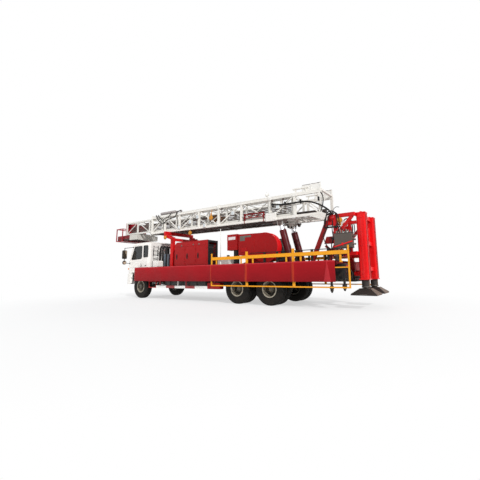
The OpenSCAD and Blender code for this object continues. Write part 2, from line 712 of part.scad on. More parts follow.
// Members of a side frame: [x, z] at each end and the section
frame_members = [
    [[-2062, deck_z + 26], [-2620, mast_z - 60], 120],
    [[-2870, deck_z], [-2870, mast_z - 80], 120],
    [[-2870, 2170], [link_x + 60, 2770], 90],
    [[-2870, mast_z + 60], [link_x, mast_z + 60], 110],
    [[-2870, 1620], [link_x, 1620], 110],
    [[-2520, 1900], [-2870, 1560], 70]];
module a_frame() {
    color("red") both() {
        for (m = frame_members)
            bar([m[0][0], frame_y + frame_w / 2, m[0][1]], [m[1][0], frame_y + frame_w / 2, m[1][1]], m[2]);
        side_plate(frame_y, frame_w) difference() {
            union() {
                translate([mast_x, mast_z]) circle(r = 120);
                polygon([[mast_x - 170, mast_z - 220], [mast_x + 170, mast_z - 220], [mast_x + 100, mast_z + 60], [mast_x - 160, mast_z + 110]]);
            }
            translate([mast_x, mast_z]) circle(r = pivot_r - 1);
        }
        side_plate(frame_y + 20, 60) polygon([[-2900, 1960], [-2480, 1960], [-2560, 2180], [-2900, 2180]]);
        across(mast_x, lug_y - 12, mast_z, pivot_r, frame_y + frame_w - lug_y + 32);
        block([-2110, frame_y - 30, deck_z], [-1960, frame_y + frame_w + 30, deck_z + 30]);
    }
    color("red") {
        block([-2920, -frame_y - 1, 1560], [-2820, frame_y + 1, 1660]);
        block([-2920, -frame_y - 1, 2160], [-2830, frame_y + 1, 2240]);
    }
}

// Rear columns that guide the jack legs, joined by beams and a plate
column_wall = 22;
module rear_columns() {
    half = jack_side / 2;
    color("red") {
        both() difference() {
            translate([0, 0, jack_z0]) linear_extrude(jack_z1 - jack_z0)
                round_rect(jack_x - half, jack_y - half, jack_x + half, jack_y + half, 60);
            translate([jack_x, jack_y, jack_z0 - 1]) cylinder(r = half - column_wall, h = jack_z1 - jack_z0 - 40);
        }
        for (z = [jack_z1 - 160, 1900, 1100]) block([jack_x - 50, -jack_y + half - 2, z], [jack_x + 50, jack_y - half + 2, z + 120]);
        block([jack_x - 8, -jack_y + half - 2, 2020], [jack_x + 8, jack_y - half + 2, 2480]);
        both() block([jack_x + half - 2, jack_y - 60, 1570], [jack_x + half + 20, frame_y + frame_w, 1680]);
        both() block([jack_x + half - 2, jack_y - 60, mast_z + 5], [jack_x + half + 20, frame_y + frame_w, mast_z + 115]);
        both() block([jack_x + half - 1, rail_y - 80, rail_top - 120], [rail_x0, rail_y - 10, rail_top]);
    }
}

// Jack leg: round leg in its column, clevis and a tapered foot pad
leg_r = jack_side / 2 - column_wall - 0.5;
module jack_leg() {
    color("dimgray") {
        translate([jack_x, jack_y, pad_z + 250]) cylinder(r = leg_r, h = 1500);
        translate([jack_x, jack_y, pad_z + 170]) sphere(r = 95);
        translate([jack_x, jack_y, pad_z + 170]) cylinder(r = 60, h = 100);
    }
    color("saddlebrown") foot_pad();
}
module foot_pad() {
    rise = 190;
    translate([jack_x, jack_y, pad_z]) intersection() {
        translate([-pad_side / 2, -pad_side / 2, 0]) cube([pad_side, pad_side, rise]);
        rotate([90, 0, 0]) linear_extrude(pad_side, center = true) pad_outline(rise);
        rotate([90, 0, 90]) linear_extrude(pad_side, center = true) pad_outline(rise);
    }
}
module pad_outline(rise) {
    polygon([[-pad_side / 2, 0], [pad_side / 2, 0], [pad_side / 2, 30], [150, rise], [-150, rise], [-pad_side / 2, 30]]);
}

// Guard rails, folded down beside the deck: [first post, last post] of each panel
rail_panels = [[1750, 140], [100, -1650], [-1690, -3380]];
rail_bars = [[rails_z0, 40], [1190, 30], [1580, 110]];
module rail_side() {
    for (p = rail_panels) {
        for (x = p) block([x - rails_tube / 2, rails_y, rails_z0], [x + rails_tube / 2, rails_y + rails_tube, rails_z1]);
        for (b = rail_bars) block([p[1], rails_y + 4, b[0]], [p[0], rails_y + rails_tube - 4, b[0] + b[1]]);
        block([p[1] + 200, deck_y, deck_z - 60], [p[1] + 260, rails_y + 4, deck_z - 20]);
        block([p[0] - 260, deck_y, deck_z - 60], [p[0] - 200, rails_y + 4, deck_z - 20]);
        for (x = [p[1] + 200, p[0] - 260]) block([x, rails_y + 4, deck_z - 60], [x + 60, rails_y + 16, 1600]);
    }
}
module guard_rails() { color("orange") both() rail_side(); }

// Driller's console with a row of levers
module console() {
    color("gray") {
        block([-3460, 1000, 1760], [-2960, 1230, 2200]);
        for (i = [0:5]) rod([-3410 + i * 80, 1115, 2190], [-3430 + i * 80, 1115, 2300], 9);
        block([-3000, 1030, deck_z], [-2960, 1200, 1770]);
    }
}

// Cloth tied along the left side
module banner() { color("firebrick") block([cloth_x0, cloth_y, cloth_z0], [cloth_x1, cloth_y + cloth_t, cloth_z1]); }
cloth_y = rails_y + rails_tube + cloth_gap;

// Side guards, step frames, tanks and boxes under the deck's edge
module side_gear() {
    color("red") both() {
        block([1480, 1190, 500], [5190, 1230, 610]);
        for (x = [1700, 3250, 4900]) block([x, 1192, 609], [x + 60, 1228, sub_top - 110]);
    }
    color("black") both() {
        block([2300, tank_y, 560], [4700, 1120, 1130]);
    }
}

// Outer section of the mast: chords, uprights, cross members and diagonals
outer_stations = [380, 1350, 2350, 3670, 4850, 6000, 7250, 8280, 9300];
module lattice(stations, half, w0, w1, c, lace, open_top) {
    u0 = stations[0];
    u1 = stations[len(stations) - 1];
    both() for (w = [w0, w1 - c]) block([u0, half - c, w], [u1, half, w + c]);
    for (i = [0:len(stations) - 1]) {
        u = min(max(stations[i], u0 + c / 2), u1 - c / 2);
        both() block([u - c / 2, half - c + 8, w0 + c - 1], [u + c / 2, half - 8, w1 - c + 1]);
        block([u - lace / 2, -half + c - 1, w0 + 4], [u + lace / 2, half - c + 1, w0 + 4 + lace]);
        if (!open_top) block([u - lace / 2, -half + c - 1, w1 - 4 - lace], [u + lace / 2, half - c + 1, w1 - 4]);
    }
    for (i = [0:len(stations) - 2]) {
        a = max(stations[i], u0 + c / 2);
        b = min(stations[i + 1], u1 - c / 2);
        up = i % 2 == 0;
        thin = lace - 8;
        both() bar([a, half - c / 2, up ? w0 + c / 2 : w1 - c / 2], [b, half - c / 2, up ? w1 - c / 2 : w0 + c / 2], thin);
        bar([a, up ? half - c / 2 : c / 2 - half, w0 + 4 + lace / 2], [b, up ? c / 2 - half : half - c / 2, w0 + 4 + lace / 2], thin);
        if (!open_top)
            bar([a, up ? half - c / 2 : c / 2 - half, w1 - 4 - lace / 2], [b, up ? c / 2 - half : half - c / 2, w1 - 4 - lace / 2], thin);
    }
}
lug_y = mast_y - 90;
module mast_outer() {
    color("white") on_mast() {
        lattice(outer_stations, mast_y, mast_w0, mast_w1, chord, 46, true);
        for (u = [mast_u0 + 45, mast_u1 - 45, 4850])
            block([u - 40, -mast_y + chord - 1, mast_w1], [u + 40, mast_y - chord + 1, mast_w1 + 60]);
        both() for (u = [mast_u0 + 45, mast_u1 - 45, 4850])
            block([u - 40, mast_y - chord, mast_w1 - 1], [u + 40, mast_y, mast_w1 + 60]);
        both() difference() {
            side_plate(lug_y, 86) {
                circle(r = 110);
                polygon([[-60, 90], [mast_u0 + 20, mast_w0 + chord], [mast_u0 + 420, mast_w0 + 20], [mast_u0 + 420, mast_w0], [60, -92]]);
            }
            across(0, lug_y - 1, 0, pivot_r + fit, 88);
        }
        both() for (s = [-1, 1]) ram_top_ear(ram_y + s * (ram_lug / 2 + ram_head_w / 2 + 8) - ram_lug / 2);
        both() block([ram_u - 150, ram_y - 110, mast_w0 - 12], [ram_u + 150, mast_y - 2, mast_w0]);
        both() block([mast_u0 + 60, inner_y - 66, mast_w0 + 40], [mast_u1 - 10, inner_y - 14, inner_w0 - seat]);
        both() for (u = [900, 1300]) block([u, mast_y - 80, mast_w1 - 1], [u + 40, mast_y - 30, mast_w1 + 140]);
        both() block([820, mast_y - 90, mast_w1 + 139], [1420, mast_y - 20, mast_w1 + 180]);
    }
}
module ram_top_ear(y) {
    side_plate(y, ram_lug) difference() {
        polygon([[ram_u - 90, ram_w - 60], [ram_u + 90, ram_w - 60], [ram_u + 140, mast_w0 - 11], [ram_u - 140, mast_w0 - 11]]);
        translate([ram_u, ram_w]) circle(r = ram_pin_r + 1);
    }
}

// Inner section of the mast, which slides in the outer one
inner_y = mast_y - chord - mast_gap;
inner_w0 = mast_w0 + chord + mast_gap;
inner_w1 = mast_w1 - mast_gap - 30;
inner_pitch = (inner_u1 - inner_u0) / 10;
inner_stations = [for (i = [0:10]) inner_u0 + i * inner_pitch];
module mast_inner() {
    color("white") on_mast() {
        lattice(inner_stations, inner_y, inner_w0, inner_w1, inner_chord, 40, false);
    }
}

// Long cylinder inside the mast that pushes the inner section out: barrel on the outer one, rod on the inner one
extend_y = -250;
extend_w = 480;
extend_r = 85;
extend_rod_r = 55;
extend_u0 = 520;
extend_u1 = 7700;
extend_eye = 8590;
module extend_barrel() {
    color("black") on_mast() difference() {
        union() {
            along(extend_u0, extend_y, extend_w, extend_r, extend_u1 - extend_u0);
            block([extend_u0, extend_y - 60, mast_w0 + 50 + seat], [extend_u0 + 40, extend_y + 60, extend_w]);
            block([mast_u0 + 20, extend_y - 60, mast_w0 + 50 + seat], [extend_u0 + 1, extend_y + 60, mast_w0 + 80]);
        }
        along(extend_u0 + 80, extend_y, extend_w, extend_rod_r + fit, extend_u1);
    }
}
module extend_rod() {
    color("silver") on_mast() {
        along(extend_u0 + 180, extend_y, extend_w, extend_rod_r, extend_eye - extend_u0 - 180);
        block([extend_eye - 16, extend_y - 60, inner_w0 + 44 + seat], [extend_eye + 16, extend_y + 60, extend_w + 70]);
    }
}
module along(u, y, w, r, l) { translate([u, y, w]) rotate([0, 90, 0]) cylinder(r = r, h = l); }

// Crown: sheaves on a shaft in the mast's head, with its platform rail
crown_u = inner_u1 - 330;
sheave_r = 260;
module crown() {
    w = (inner_w0 + inner_w1) / 2;
    color("red") on_mast() {
        for (y = [-300, 270]) block([crown_u - 330, y, inner_w0 + 70], [inner_u1 + 20, y + 30, inner_w1 - 70]);
        for (y = [-180, -60, 60, 180]) turned_v(crown_u, w) polygon([[50, y - 30], [sheave_r, y - 30],
            [sheave_r - 40, y - 8], [sheave_r - 40, y + 8], [sheave_r, y + 30], [50, y + 30]]);
        across(crown_u, -320, w, 50.5, 640);
        block([inner_u1, -inner_y, inner_w0], [inner_u1 + 20, inner_y, inner_w1]);
        for (y = [-700, 660], w = [crown_w0, crown_w1]) block([inner_u1 + 20, y, w], [crown_u1, y + 40, w + 40]);
        for (w = [crown_w0, crown_w1]) block([crown_u1 - 40, -661, w], [crown_u1, 661, w + 40]);
        for (y = [-700, 660], u = [inner_u1 + 20, crown_u1 - 40]) block([u, y, crown_w0 + 39], [u + 40, y + 40, crown_w1 + 1]);
        for (w = [crown_w0, crown_w1]) block([inner_u1 + 20, -661, w], [inner_u1 + 60, 661, w + 40]);
    }
}
module turned_v(x, z) { translate([x, 0, z]) rotate([-90, 0, 0]) rotate_extrude($fn = 48) children(); }

// Travelling block and hook, tied down in the mast
block_u = 5250;
module travelling_block() {
    w = inner_w0 + 40 + 230;
    color("orange") on_mast() {
        for (y = [60, 160, 260]) across(block_u, y, w, 180, 50);
        across(block_u, 40, w, 45, 290);
        side_plate(30, 300) polygon([[block_u - 120, w - 50], [block_u + 120, w - 50], [block_u + 60, w + 50], [block_u - 60, w + 50]]);
        block([block_u - 560, 130, w - 60], [block_u - 150, 230, w + 60]);
        for (u = [block_u - 450, block_u + 60]) {
            block([u, 20, inner_w0 + 63], [u + 60, 330, w - 49]);
            block([u, inner_chord - inner_y + seat, inner_w0 + 44 + seat], [u + 60, inner_y - inner_chord - seat, inner_w0 + 64]);
        }
    }
}

// Racking board, folded under the mast's head
board_u0 = 10400;
board_u1 = 12200;
module racking_board() {
    color("darkred") on_mast() {
        for (y = [-640, 600]) block([board_u0, y, crown_w0 + 45], [board_u1, y + 40, inner_w0 - 40]);
        for (u = [board_u0, board_u1 - 40]) block([u, -601, crown_w0 + 45], [u + 40, 601, inner_w0 - 40]);
        for (i = [0:8]) block([board_u0 + 39, -520 + i * 125, crown_w0 + 100], [board_u1 - 39, -490 + i * 125, crown_w0 + 140]);
        for (u = [board_u0 + 100, board_u1 - 800], y = [-inner_y, inner_y - 60]) block([u, y, crown_w0 + 139], [u + 60, y + 60, inner_w0]);
    }
}

// Raising cylinders: barrel, sleeve and rod, drawn along the line from base pin to eye
ram_pin_r = 35;
ram_head_w = 150;
eye_x = mast_x + ram_u * cos(mast_lie) - ram_w * sin(mast_lie);
eye_z = mast_z + ram_u * sin(mast_lie) + ram_w * cos(mast_lie);
ram_len = norm([eye_x - ram_x, eye_z - ram_z]);
ram_tilt = atan2(eye_x - ram_x, eye_z - ram_z);
sleeve_r = ram_r - 22;
rod_r = sleeve_r - 24;
module on_ram() { both() translate([ram_x, ram_y, ram_z]) rotate([0, ram_tilt, 0]) children(); }
module ram_barrels() {
    color("maroon") on_ram() difference() {
        union() {
            rotate([90, 0, 0]) cylinder(r = 88, h = ram_head_w, center = true);
            translate([-70, -ram_head_w / 2, 0]) cube([140, ram_head_w, 120]);
            translate([0, 0, 110]) cylinder(r = ram_r, h = ram_len - 340);
        }
        rotate([90, 0, 0]) cylinder(r = ram_pin_r + fit, h = ram_head_w + 2, center = true);
        translate([0, 0, 140]) cylinder(r = sleeve_r + fit, h = ram_len);
    }
}
module ram_sleeves() {
    color("silver") on_ram() difference() {
        translate([0, 0, 145]) cylinder(r = sleeve_r, h = ram_len - 335);
        translate([0, 0, 175]) cylinder(r = rod_r + fit, h = ram_len);
    }
}
module ram_rods() {
    color("silver") on_ram() difference() {
        union() {
            translate([0, 0, 180]) cylinder(r = rod_r, h = ram_len - 180 - 60);
            rotate([90, 0, 0]) translate([0, ram_len, 0]) cylinder(r = 88, h = ram_head_w, center = true);
        }
        rotate([90, 0, 0]) translate([0, ram_len, 0]) cylinder(r = ram_pin_r + 1, h = ram_head_w + 2, center = true);
    }
}

place() chassis();
place() subframe();
place() axle_front();
place() axles_rear();
place() driveline();
place() cab();
place() cab_glass();
place() cab_interior();
place() bumper();
place() mirrors();
place() mudguards();
place() deck();
place() air_tank();
place() intake_stand();
place() cabinet();
place() power_unit();
place() drawworks();
place() front_rest();
place() a_frame();
place() rear_columns();
place() guard_rails();
place() console();
place() banner();
place() side_gear();
place() mast_outer();
place() mast_inner();
place() crown();
place() travelling_block();
place() racking_board();
place() extend_barrel();
place() extend_rod();
place() ram_barrels();
place() ram_sleeves();
place() ram_rods();
place() jack_leg();  // jack_left
place() mirror([0, 1, 0]) jack_leg();  // jack_right
place() drum();
place() cab_door();  // cab_door_left
place() mirror([0, 1, 0]) cab_door();  // cab_door_right
place() cab_door_glass();  // door_glass_left
place() mirror([0, 1, 0]) cab_door_glass();  // door_glass_right
place() cabinet_door(0);  // cabinet_door_1
place() cabinet_door(1);  // cabinet_door_2
place() cabinet_door(2);  // cabinet_door_3
place() knuckle();  // knuckle_left
place() mirror([0, 1, 0]) knuckle();  // knuckle_right
place() rim_front(axle_f);  // rim_front_left
place() mirror([0, 1, 0]) rim_front(axle_f);  // rim_front_right
place() rim_rear(axle_1);  // rim_rear_1_left
place() mirror([0, 1, 0]) rim_rear(axle_1);  // rim_rear_1_right
place() rim_rear(axle_2);  // rim_rear_2_left
place() mirror([0, 1, 0]) rim_rear(axle_2);  // rim_rear_2_right
place() tyre_front(axle_f);  // tyre_front_left
place() mirror([0, 1, 0]) tyre_front(axle_f);  // tyre_front_right
place() tyre_rear(axle_1);  // tyre_rear_1_left
place() mirror([0, 1, 0]) tyre_rear(axle_1);  // tyre_rear_1_right
place() tyre_rear(axle_2);  // tyre_rear_2_left
place() mirror([0, 1, 0]) tyre_rear(axle_2);  // tyre_rear_2_right

// Tyres: one in front, a pair at the rear
module tyre_front(x) { color("black") tyre(x, front_track); }
module tyre_rear(x) { color("black") { tyre(x, rear_track); tyre(x, rear_track - twin_pitch); } }
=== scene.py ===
"""Looks of the workover rig: finishes of the CAD nodes, tyre tread, the cloth, hoses and small parts."""

import json
import math
from itertools import product

import bpy
from mathutils import Matrix, Vector, noise


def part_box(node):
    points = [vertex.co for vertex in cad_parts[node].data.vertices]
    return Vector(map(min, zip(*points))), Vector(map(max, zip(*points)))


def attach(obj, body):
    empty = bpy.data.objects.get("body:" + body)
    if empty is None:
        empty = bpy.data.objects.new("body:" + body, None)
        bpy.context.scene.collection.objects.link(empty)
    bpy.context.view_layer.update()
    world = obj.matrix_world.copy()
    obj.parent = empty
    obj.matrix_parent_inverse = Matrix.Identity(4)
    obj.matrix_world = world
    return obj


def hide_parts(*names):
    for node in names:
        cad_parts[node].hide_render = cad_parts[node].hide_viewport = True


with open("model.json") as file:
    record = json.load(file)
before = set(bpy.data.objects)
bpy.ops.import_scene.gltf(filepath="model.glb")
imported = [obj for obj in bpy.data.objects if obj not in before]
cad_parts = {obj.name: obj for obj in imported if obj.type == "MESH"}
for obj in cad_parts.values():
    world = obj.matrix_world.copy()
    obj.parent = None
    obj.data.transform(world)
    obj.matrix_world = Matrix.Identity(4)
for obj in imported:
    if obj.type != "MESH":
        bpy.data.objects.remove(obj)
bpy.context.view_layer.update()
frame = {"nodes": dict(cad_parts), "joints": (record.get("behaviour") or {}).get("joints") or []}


# Places, in metres, counted as in the CAD source from the middle of the rear tandem


def middle(node):
    low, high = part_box(node)
    return (low + high) / 2


TANDEM = (middle("tyre_rear_1_left").x + middle("tyre_rear_2_left").x) / 2
AXLE_1 = middle("tyre_rear_1_left").x - TANDEM
AXLE_2 = -AXLE_1
AXLE_F = middle("tyre_front_left").x - TANDEM
TYRE_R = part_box("tyre_front_left")[1].z / 2
TYRE_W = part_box("tyre_front_left")[1].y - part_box("tyre_front_left")[0].y
FRONT_TRACK = middle("tyre_front_left").y
REAR_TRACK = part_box("tyre_rear_1_left")[1].y - TYRE_W / 2
TWIN_PITCH = 0.34
RIM_R = 0.257
DECK_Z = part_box("deck")[1].z
DECK_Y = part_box("deck")[1].y
CLOTH_LOW, CLOTH_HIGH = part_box("banner")
FOLD_X, FOLD_HALF = -2.755, 0.105
PIVOT = Vector(next(j for j in frame["joints"] if j["name"] == "mast_raise")["pos_m"])
MAST_LIE = math.radians(0.9)
CAB_Y = 1.2
CAB_X0, CAB_X1 = 5.84, 7.47
CAB_CORNER = 0.14
DOOR_WINDOW = [(6.36, 1.89), (6.42, 1.84), (7.13, 1.81), (7.18, 1.85), (6.93, 2.44), (6.36, 2.44)]
REAR_WINDOW = [(5.92, 1.90), (6.235, 1.90), (6.235, 2.45), (5.92, 2.45)]
WINDSCREEN = [(-1.07, 1.80), (1.07, 1.80), (1.07, 2.48), (-1.07, 2.48)]
CABINET_X0, CABINET_X1, CABINET_Y, CABINET_TOP = 2.29, 4.28, 1.0, 2.45
WINCH_X, WINCH_Z, GUARD_R, GUARD_Y = -0.33, 1.98, 0.53, 0.9
JACK_X, JACK_Y, JACK_SIDE, JACK_Z0, JACK_Z1 = -3.605, 0.55, 0.27, 0.84, 2.86
OUTER_STATIONS = [0.38, 1.35, 2.35, 3.67, 4.85, 6.0, 7.25, 8.28, 9.3]
PANEL_Y = 0.56
LAMP_Y = 0.628
BOARD_U0, BOARD_U1, BOARD_W = 10.40, 12.20, 0.015
POSTS = [1.75, 0.14, 0.10, -1.65, -1.69]
RAIL_END = -3.38
TIES = [6.6, 5.3, 4.2, 3.1, 1.95, 0.9, -0.3, -1.3, -2.2, -2.94]
SIDES = ((1, "left"), (-1, "right"))
CORNERS = [(-1, -1), (1, -1), (1, 1), (-1, 1)]


def at(x, y, z):
    """A point of the rig, with x counted from the middle of the rear tandem."""
    return Vector((x + TANDEM, y, z))


def on_deck(x, y, h):
    """A point at a height above the deck."""
    return at(x, y, DECK_Z + h)


def on_mast(u, y, w):
    """A point of the mast as it lies: u along it from the pivot, w above the pivot."""
    c, s = math.cos(MAST_LIE), math.sin(MAST_LIE)
    return Vector((PIVOT.x + u * c - w * s, y, PIVOT.z + u * s + w * c))


def on_board(share, y, h):
    """A point of the racking board: share runs from its rear end to its front end, h above its lower edge."""
    return on_mast(BOARD_U0 + (BOARD_U1 - BOARD_U0) * share, y, BOARD_W + h)


def steps(first, step, count):
    """Equally spaced numbers."""
    return [first + step * k for k in range(count)]


def turns(count, shift=0.0):
    """Equally spaced angles round a full turn, moved on by a share of one space."""
    return [2 * math.pi * (k + shift) / count for k in range(count)]


def about(axis, radius, along, angle):
    """A point at a radius and an angle about an axis, and some way along it."""
    c, s = radius * math.cos(angle), radius * math.sin(angle)
    return Vector({"X": (along, c, s), "Y": (c, along, s), "Z": (c, s, along)}[axis])


# Finishes

DUST = (150, 136, 118)
DARK_RED = (128, 20, 26)
WHITE = (236, 232, 226)
BLACK = (26, 24, 25)
AMBER = (236, 160, 34)
GUARD_WHITE = [(4.51, 5.25), (3.32, 3.96), (2.09, 2.77)]


def srgb(colour):
    """A colour given as it shows on a screen, 0 to 255, for a shader."""
    scaled = [v / 255 for v in colour]
    return tuple(v / 12.92 if v <= 0.04045 else ((v + 0.055) / 1.055) ** 2.4 for v in scaled) + (1.0,)


def shade(colour, factor):
    return tuple(min(1.0, v * factor) for v in colour[:3]) + (1.0,)


class Nodes:
    """Short ways to add nodes to a node tree."""

    def __init__(self, tree):
        self.tree = tree

    def put(self, socket, value):
        """Gives a socket a number or colour, or links it to another node's output."""
        if isinstance(value, bpy.types.NodeSocket):
            self.tree.links.new(value, socket)
        else:
            socket.default_value = value

    def node(self, kind, inputs=None, **settings):
        made = self.tree.nodes.new(kind)
        for key, value in settings.items():
            setattr(made, key, value)
        for key, value in (inputs or {}).items():
            self.put(made.inputs[key], value)
        return made

    def maths(self, operation, a, b=0.0):
        return self.node("ShaderNodeMath", {0: a, 1: b}, operation=operation).outputs[0]

    def fit(self, value, low, high, out_low=0.0, out_high=1.0):
        """Value from low to high becomes out_low to out_high."""
        ends = {"From Min": low, "From Max": high, "To Min": out_low, "To Max": out_high}
        return self.node("ShaderNodeMapRange", {"Value": value, **ends}).outputs["Result"]

    def blend(self, share, a, b):
        """A shader between two others."""
        return self.node("ShaderNodeMixShader", {0: share, 1: a, 2: b}).outputs[0]


class Finish(Nodes):
    """A material. Patterns read the row frame's coordinates."""

    def __init__(self, name):
        self.material = bpy.data.materials.new(name)
        self.material.use_nodes = True
        super().__init__(self.material.node_tree)
        self.shader = self.tree.nodes["Principled BSDF"]
        self.where = self.node("ShaderNodeTexCoord").outputs["Object"]
        self.split = self.node("ShaderNodeSeparateXYZ", {0: self.where})

    def times(self, *values):
        """The product of numbers and outputs."""
        found = values[0]
        for value in values[1:]:
            found = self.maths("MULTIPLY", found, value)
        return found

    def noise(self, scale, detail=4.0, rough=0.55):
        inputs = {"Vector": self.where, "Scale": scale, "Detail": detail, "Roughness": rough}
        return self.node("ShaderNodeTexNoise", inputs).outputs["Fac"]

    def waves(self, direction, scale):
        inputs = {"Vector": self.where, "Scale": scale}
        return self.node("ShaderNodeTexWave", inputs, bands_direction=direction).outputs["Fac"]

    def mix(self, share, a, b):
        return self.node("ShaderNodeMix", {"Factor": share, 6: a, 7: b}, data_type="RGBA").outputs[2]

    def clouds(self, colour, scale, detail, fade):
        """A colour in faint lighter and darker clouds."""
        return self.mix(self.noise(scale, detail), shade(colour, 1 - fade), shade(colour, 1 + fade))

    def axis(self, name):
        return self.split.outputs[name]

    def away(self, name, place):
        """How far a coordinate is from a place."""
        return self.maths("ABSOLUTE", self.maths("SUBTRACT", self.axis(name), place))

    def inside(self, x=None, y=None, z=None):
        """1 inside a box given by ranges, x counted from the middle of the tandem, and 0 elsewhere."""
        parts = []
        for name, ends, start in (("X", x, TANDEM), ("Y", y, 0), ("Z", z, 0)):
            if ends:
                parts.append(self.maths("GREATER_THAN", self.axis(name), ends[0] + start))
                parts.append(self.maths("LESS_THAN", self.axis(name), ends[1] + start))
        return self.times(*parts)

    def bump(self, height, strength, distance=0.002):
        inputs = {"Height": height, "Strength": strength, "Distance": distance}
        self.set(Normal=self.node("ShaderNodeBump", inputs).outputs[0])

    def set(self, **values):
        """Sets the shader's own sockets, named with _ for a space."""
        for key, value in values.items():
            self.put(self.shader.inputs[key.replace("_", " ")], value)


def painted(name, colour, rough=0.36, dust=0.18, fade=0.1, areas=()):
    """Sprayed enamel: faint clouds in the colour, dust that gathers low down and an orange-peel bump.
    areas are (colour, ranges) for places of the same piece in another colour."""
    f = Finish(name)
    base = f.clouds(srgb(colour), 1.7, 5, fade)
    for other, ranges in areas:
        base = f.mix(f.inside(**ranges), base, srgb(other))
    low = f.fit(f.axis("Z"), 1.5, 0.3)
    speck = f.fit(f.noise(9, 8, 0.7), 0.42, 0.72)
    f.set(Base_Color=f.mix(f.times(f.maths("ADD", low, 0.10), speck, dust), base, srgb(DUST)),
          Roughness=f.fit(f.noise(6, 6), 0.3, 0.7, rough - 0.06, rough + 0.14),
          Specular_IOR_Level=0.14, Coat_Weight=0.04, Coat_Roughness=0.2)
    f.bump(f.noise(70, 2), 0.08)
    return f.material


def bare_metal(name, colour, rough=0.35, metallic=0.9, wear=0.3):
    """Machined or plated steel with fine scratches and darker stains."""
    f = Finish(name)
    stain = f.fit(f.noise(3, 6, 0.65), 0.45, 0.75)
    scratch = f.noise(90, 3, 0.6)
    f.set(Base_Color=f.mix(f.times(stain, wear), srgb(colour), shade(srgb(colour), 0.45)),
          Roughness=f.fit(scratch, 0.3, 0.7, rough - 0.08, rough + 0.15), Metallic=metallic)
    f.bump(scratch, 0.1)
    return f.material


def pad_steel(name):
    """Jack leg and pad: brown rust, with painted shade, near black, on the faces that look to the sides."""
    f = Finish(name)
    normal = f.node("ShaderNodeNewGeometry").outputs["Normal"]
    across = f.node("ShaderNodeSeparateXYZ", {0: normal}).outputs["Y"]
    # Painted shade: faces that look to the sides are darkened near black.
    side_shade = f.fit(f.maths("ABSOLUTE", across), 0.35, 0.6)
    rust = f.fit(f.noise(5, 7, 0.7), 0.4, 0.7)
    base = f.mix(rust, srgb((112, 92, 78)), srgb((88, 66, 52)))
    f.set(Base_Color=f.mix(side_shade, base, srgb((40, 34, 30))),
          Roughness=f.fit(rust, 0, 1, 0.5, 0.75), Metallic=0.2)
    f.bump(f.noise(80, 3), 0.15)
    return f.material


def rubber(name, colour=(17, 15, 13), rough=0.78):
    """Tyre and hose rubber, dusty where it meets the road."""
    f = Finish(name)
    worn = f.fit(f.noise(7, 8, 0.7), 0.4, 0.75)
    share = f.times(worn, f.fit(f.fit(f.axis("Z"), 0.6, 0.0), 0, 1, 0.04, 0.18))
    f.set(Base_Color=f.mix(share, srgb(colour), shade(srgb(DUST), 0.5)),
          Roughness=f.fit(worn, 0, 1, rough - 0.1, rough + 0.12), Specular_IOR_Level=0.2)
    f.bump(f.noise(120, 3), 0.2)
    return f.material


def glazing(name, tint):
    """Window glass with faint smears."""
    f = Finish(name)
    f.set(Base_Color=srgb(tint), Roughness=f.fit(f.noise(4, 4), 0.4, 0.8, 0.03, 0.08),
          Transmission_Weight=0.82, IOR=1.45)
    return f.material


def lens(name, colour):
    """Moulded lamp glass with fine ribs."""
    f = Finish(name)
    rib = f.waves("Y", 30)
    f.set(Base_Color=f.mix(rib, srgb(colour), shade(srgb(colour), 0.75)), Roughness=0.12, Coat_Weight=0.6)
    f.bump(rib, 0.4)
    return f.material


def striped(name):
    """The side guard's red and white bands, with the tank above it left black."""
    f = Finish(name)
    outside = f.maths("GREATER_THAN", f.away("Y", 0), 1.17)
    base = f.mix(outside, srgb(BLACK), srgb((140, 34, 38)))
    for ends in GUARD_WHITE:
        base = f.mix(f.times(f.inside(x=ends, z=(0.49, 0.615)), outside), base, srgb((238, 236, 232)))
    dirt = f.times(f.fit(f.noise(8, 8, 0.7), 0.45, 0.75), 0.3)
    f.set(Base_Color=f.mix(dirt, base, srgb(DUST)), Roughness=f.fit(f.noise(6, 6), 0.3, 0.7, 0.35, 0.55))
    f.bump(f.noise(70, 2), 0.08)
    return f.material


def wheel_paint(name):
    """Rim: cream lacquer, duller and darker towards the hub, with road dirt, and painted shade over the
    inboard side of the wheels.
    """
    f = Finish(name)
    dirt = f.fit(f.noise(11, 8, 0.7), 0.35, 0.7)
    # Painted shade: rim surfaces nearer the middle than one metre, the wheels' inboard side, are darkened.
    inboard_shade = f.maths("LESS_THAN", f.away("Y", 0), 1.0)
    base = f.mix(f.times(dirt, 0.55), srgb((176, 168, 150)), srgb((84, 76, 66)))
    base = f.mix(f.times(inboard_shade, 0.8), base, srgb((30, 27, 24)))
    up = f.maths("POWER", f.maths("SUBTRACT", f.axis("Z"), TYRE_R), 2.0)
    for axle in (AXLE_F, AXLE_1, AXLE_2):
        past = f.maths("POWER", f.away("X", axle + TANDEM), 2.0)
        reach = f.maths("SQRT", f.maths("ADD", past, up))
        base = f.mix(f.fit(reach, 0.215, 0.190, 0.0, 0.7), base, srgb((36, 32, 28)))
    f.set(Base_Color=base, Roughness=f.fit(dirt, 0, 1, 0.38, 0.7), Metallic=0.35)
    f.bump(f.noise(60, 3), 0.12)
    return f.material


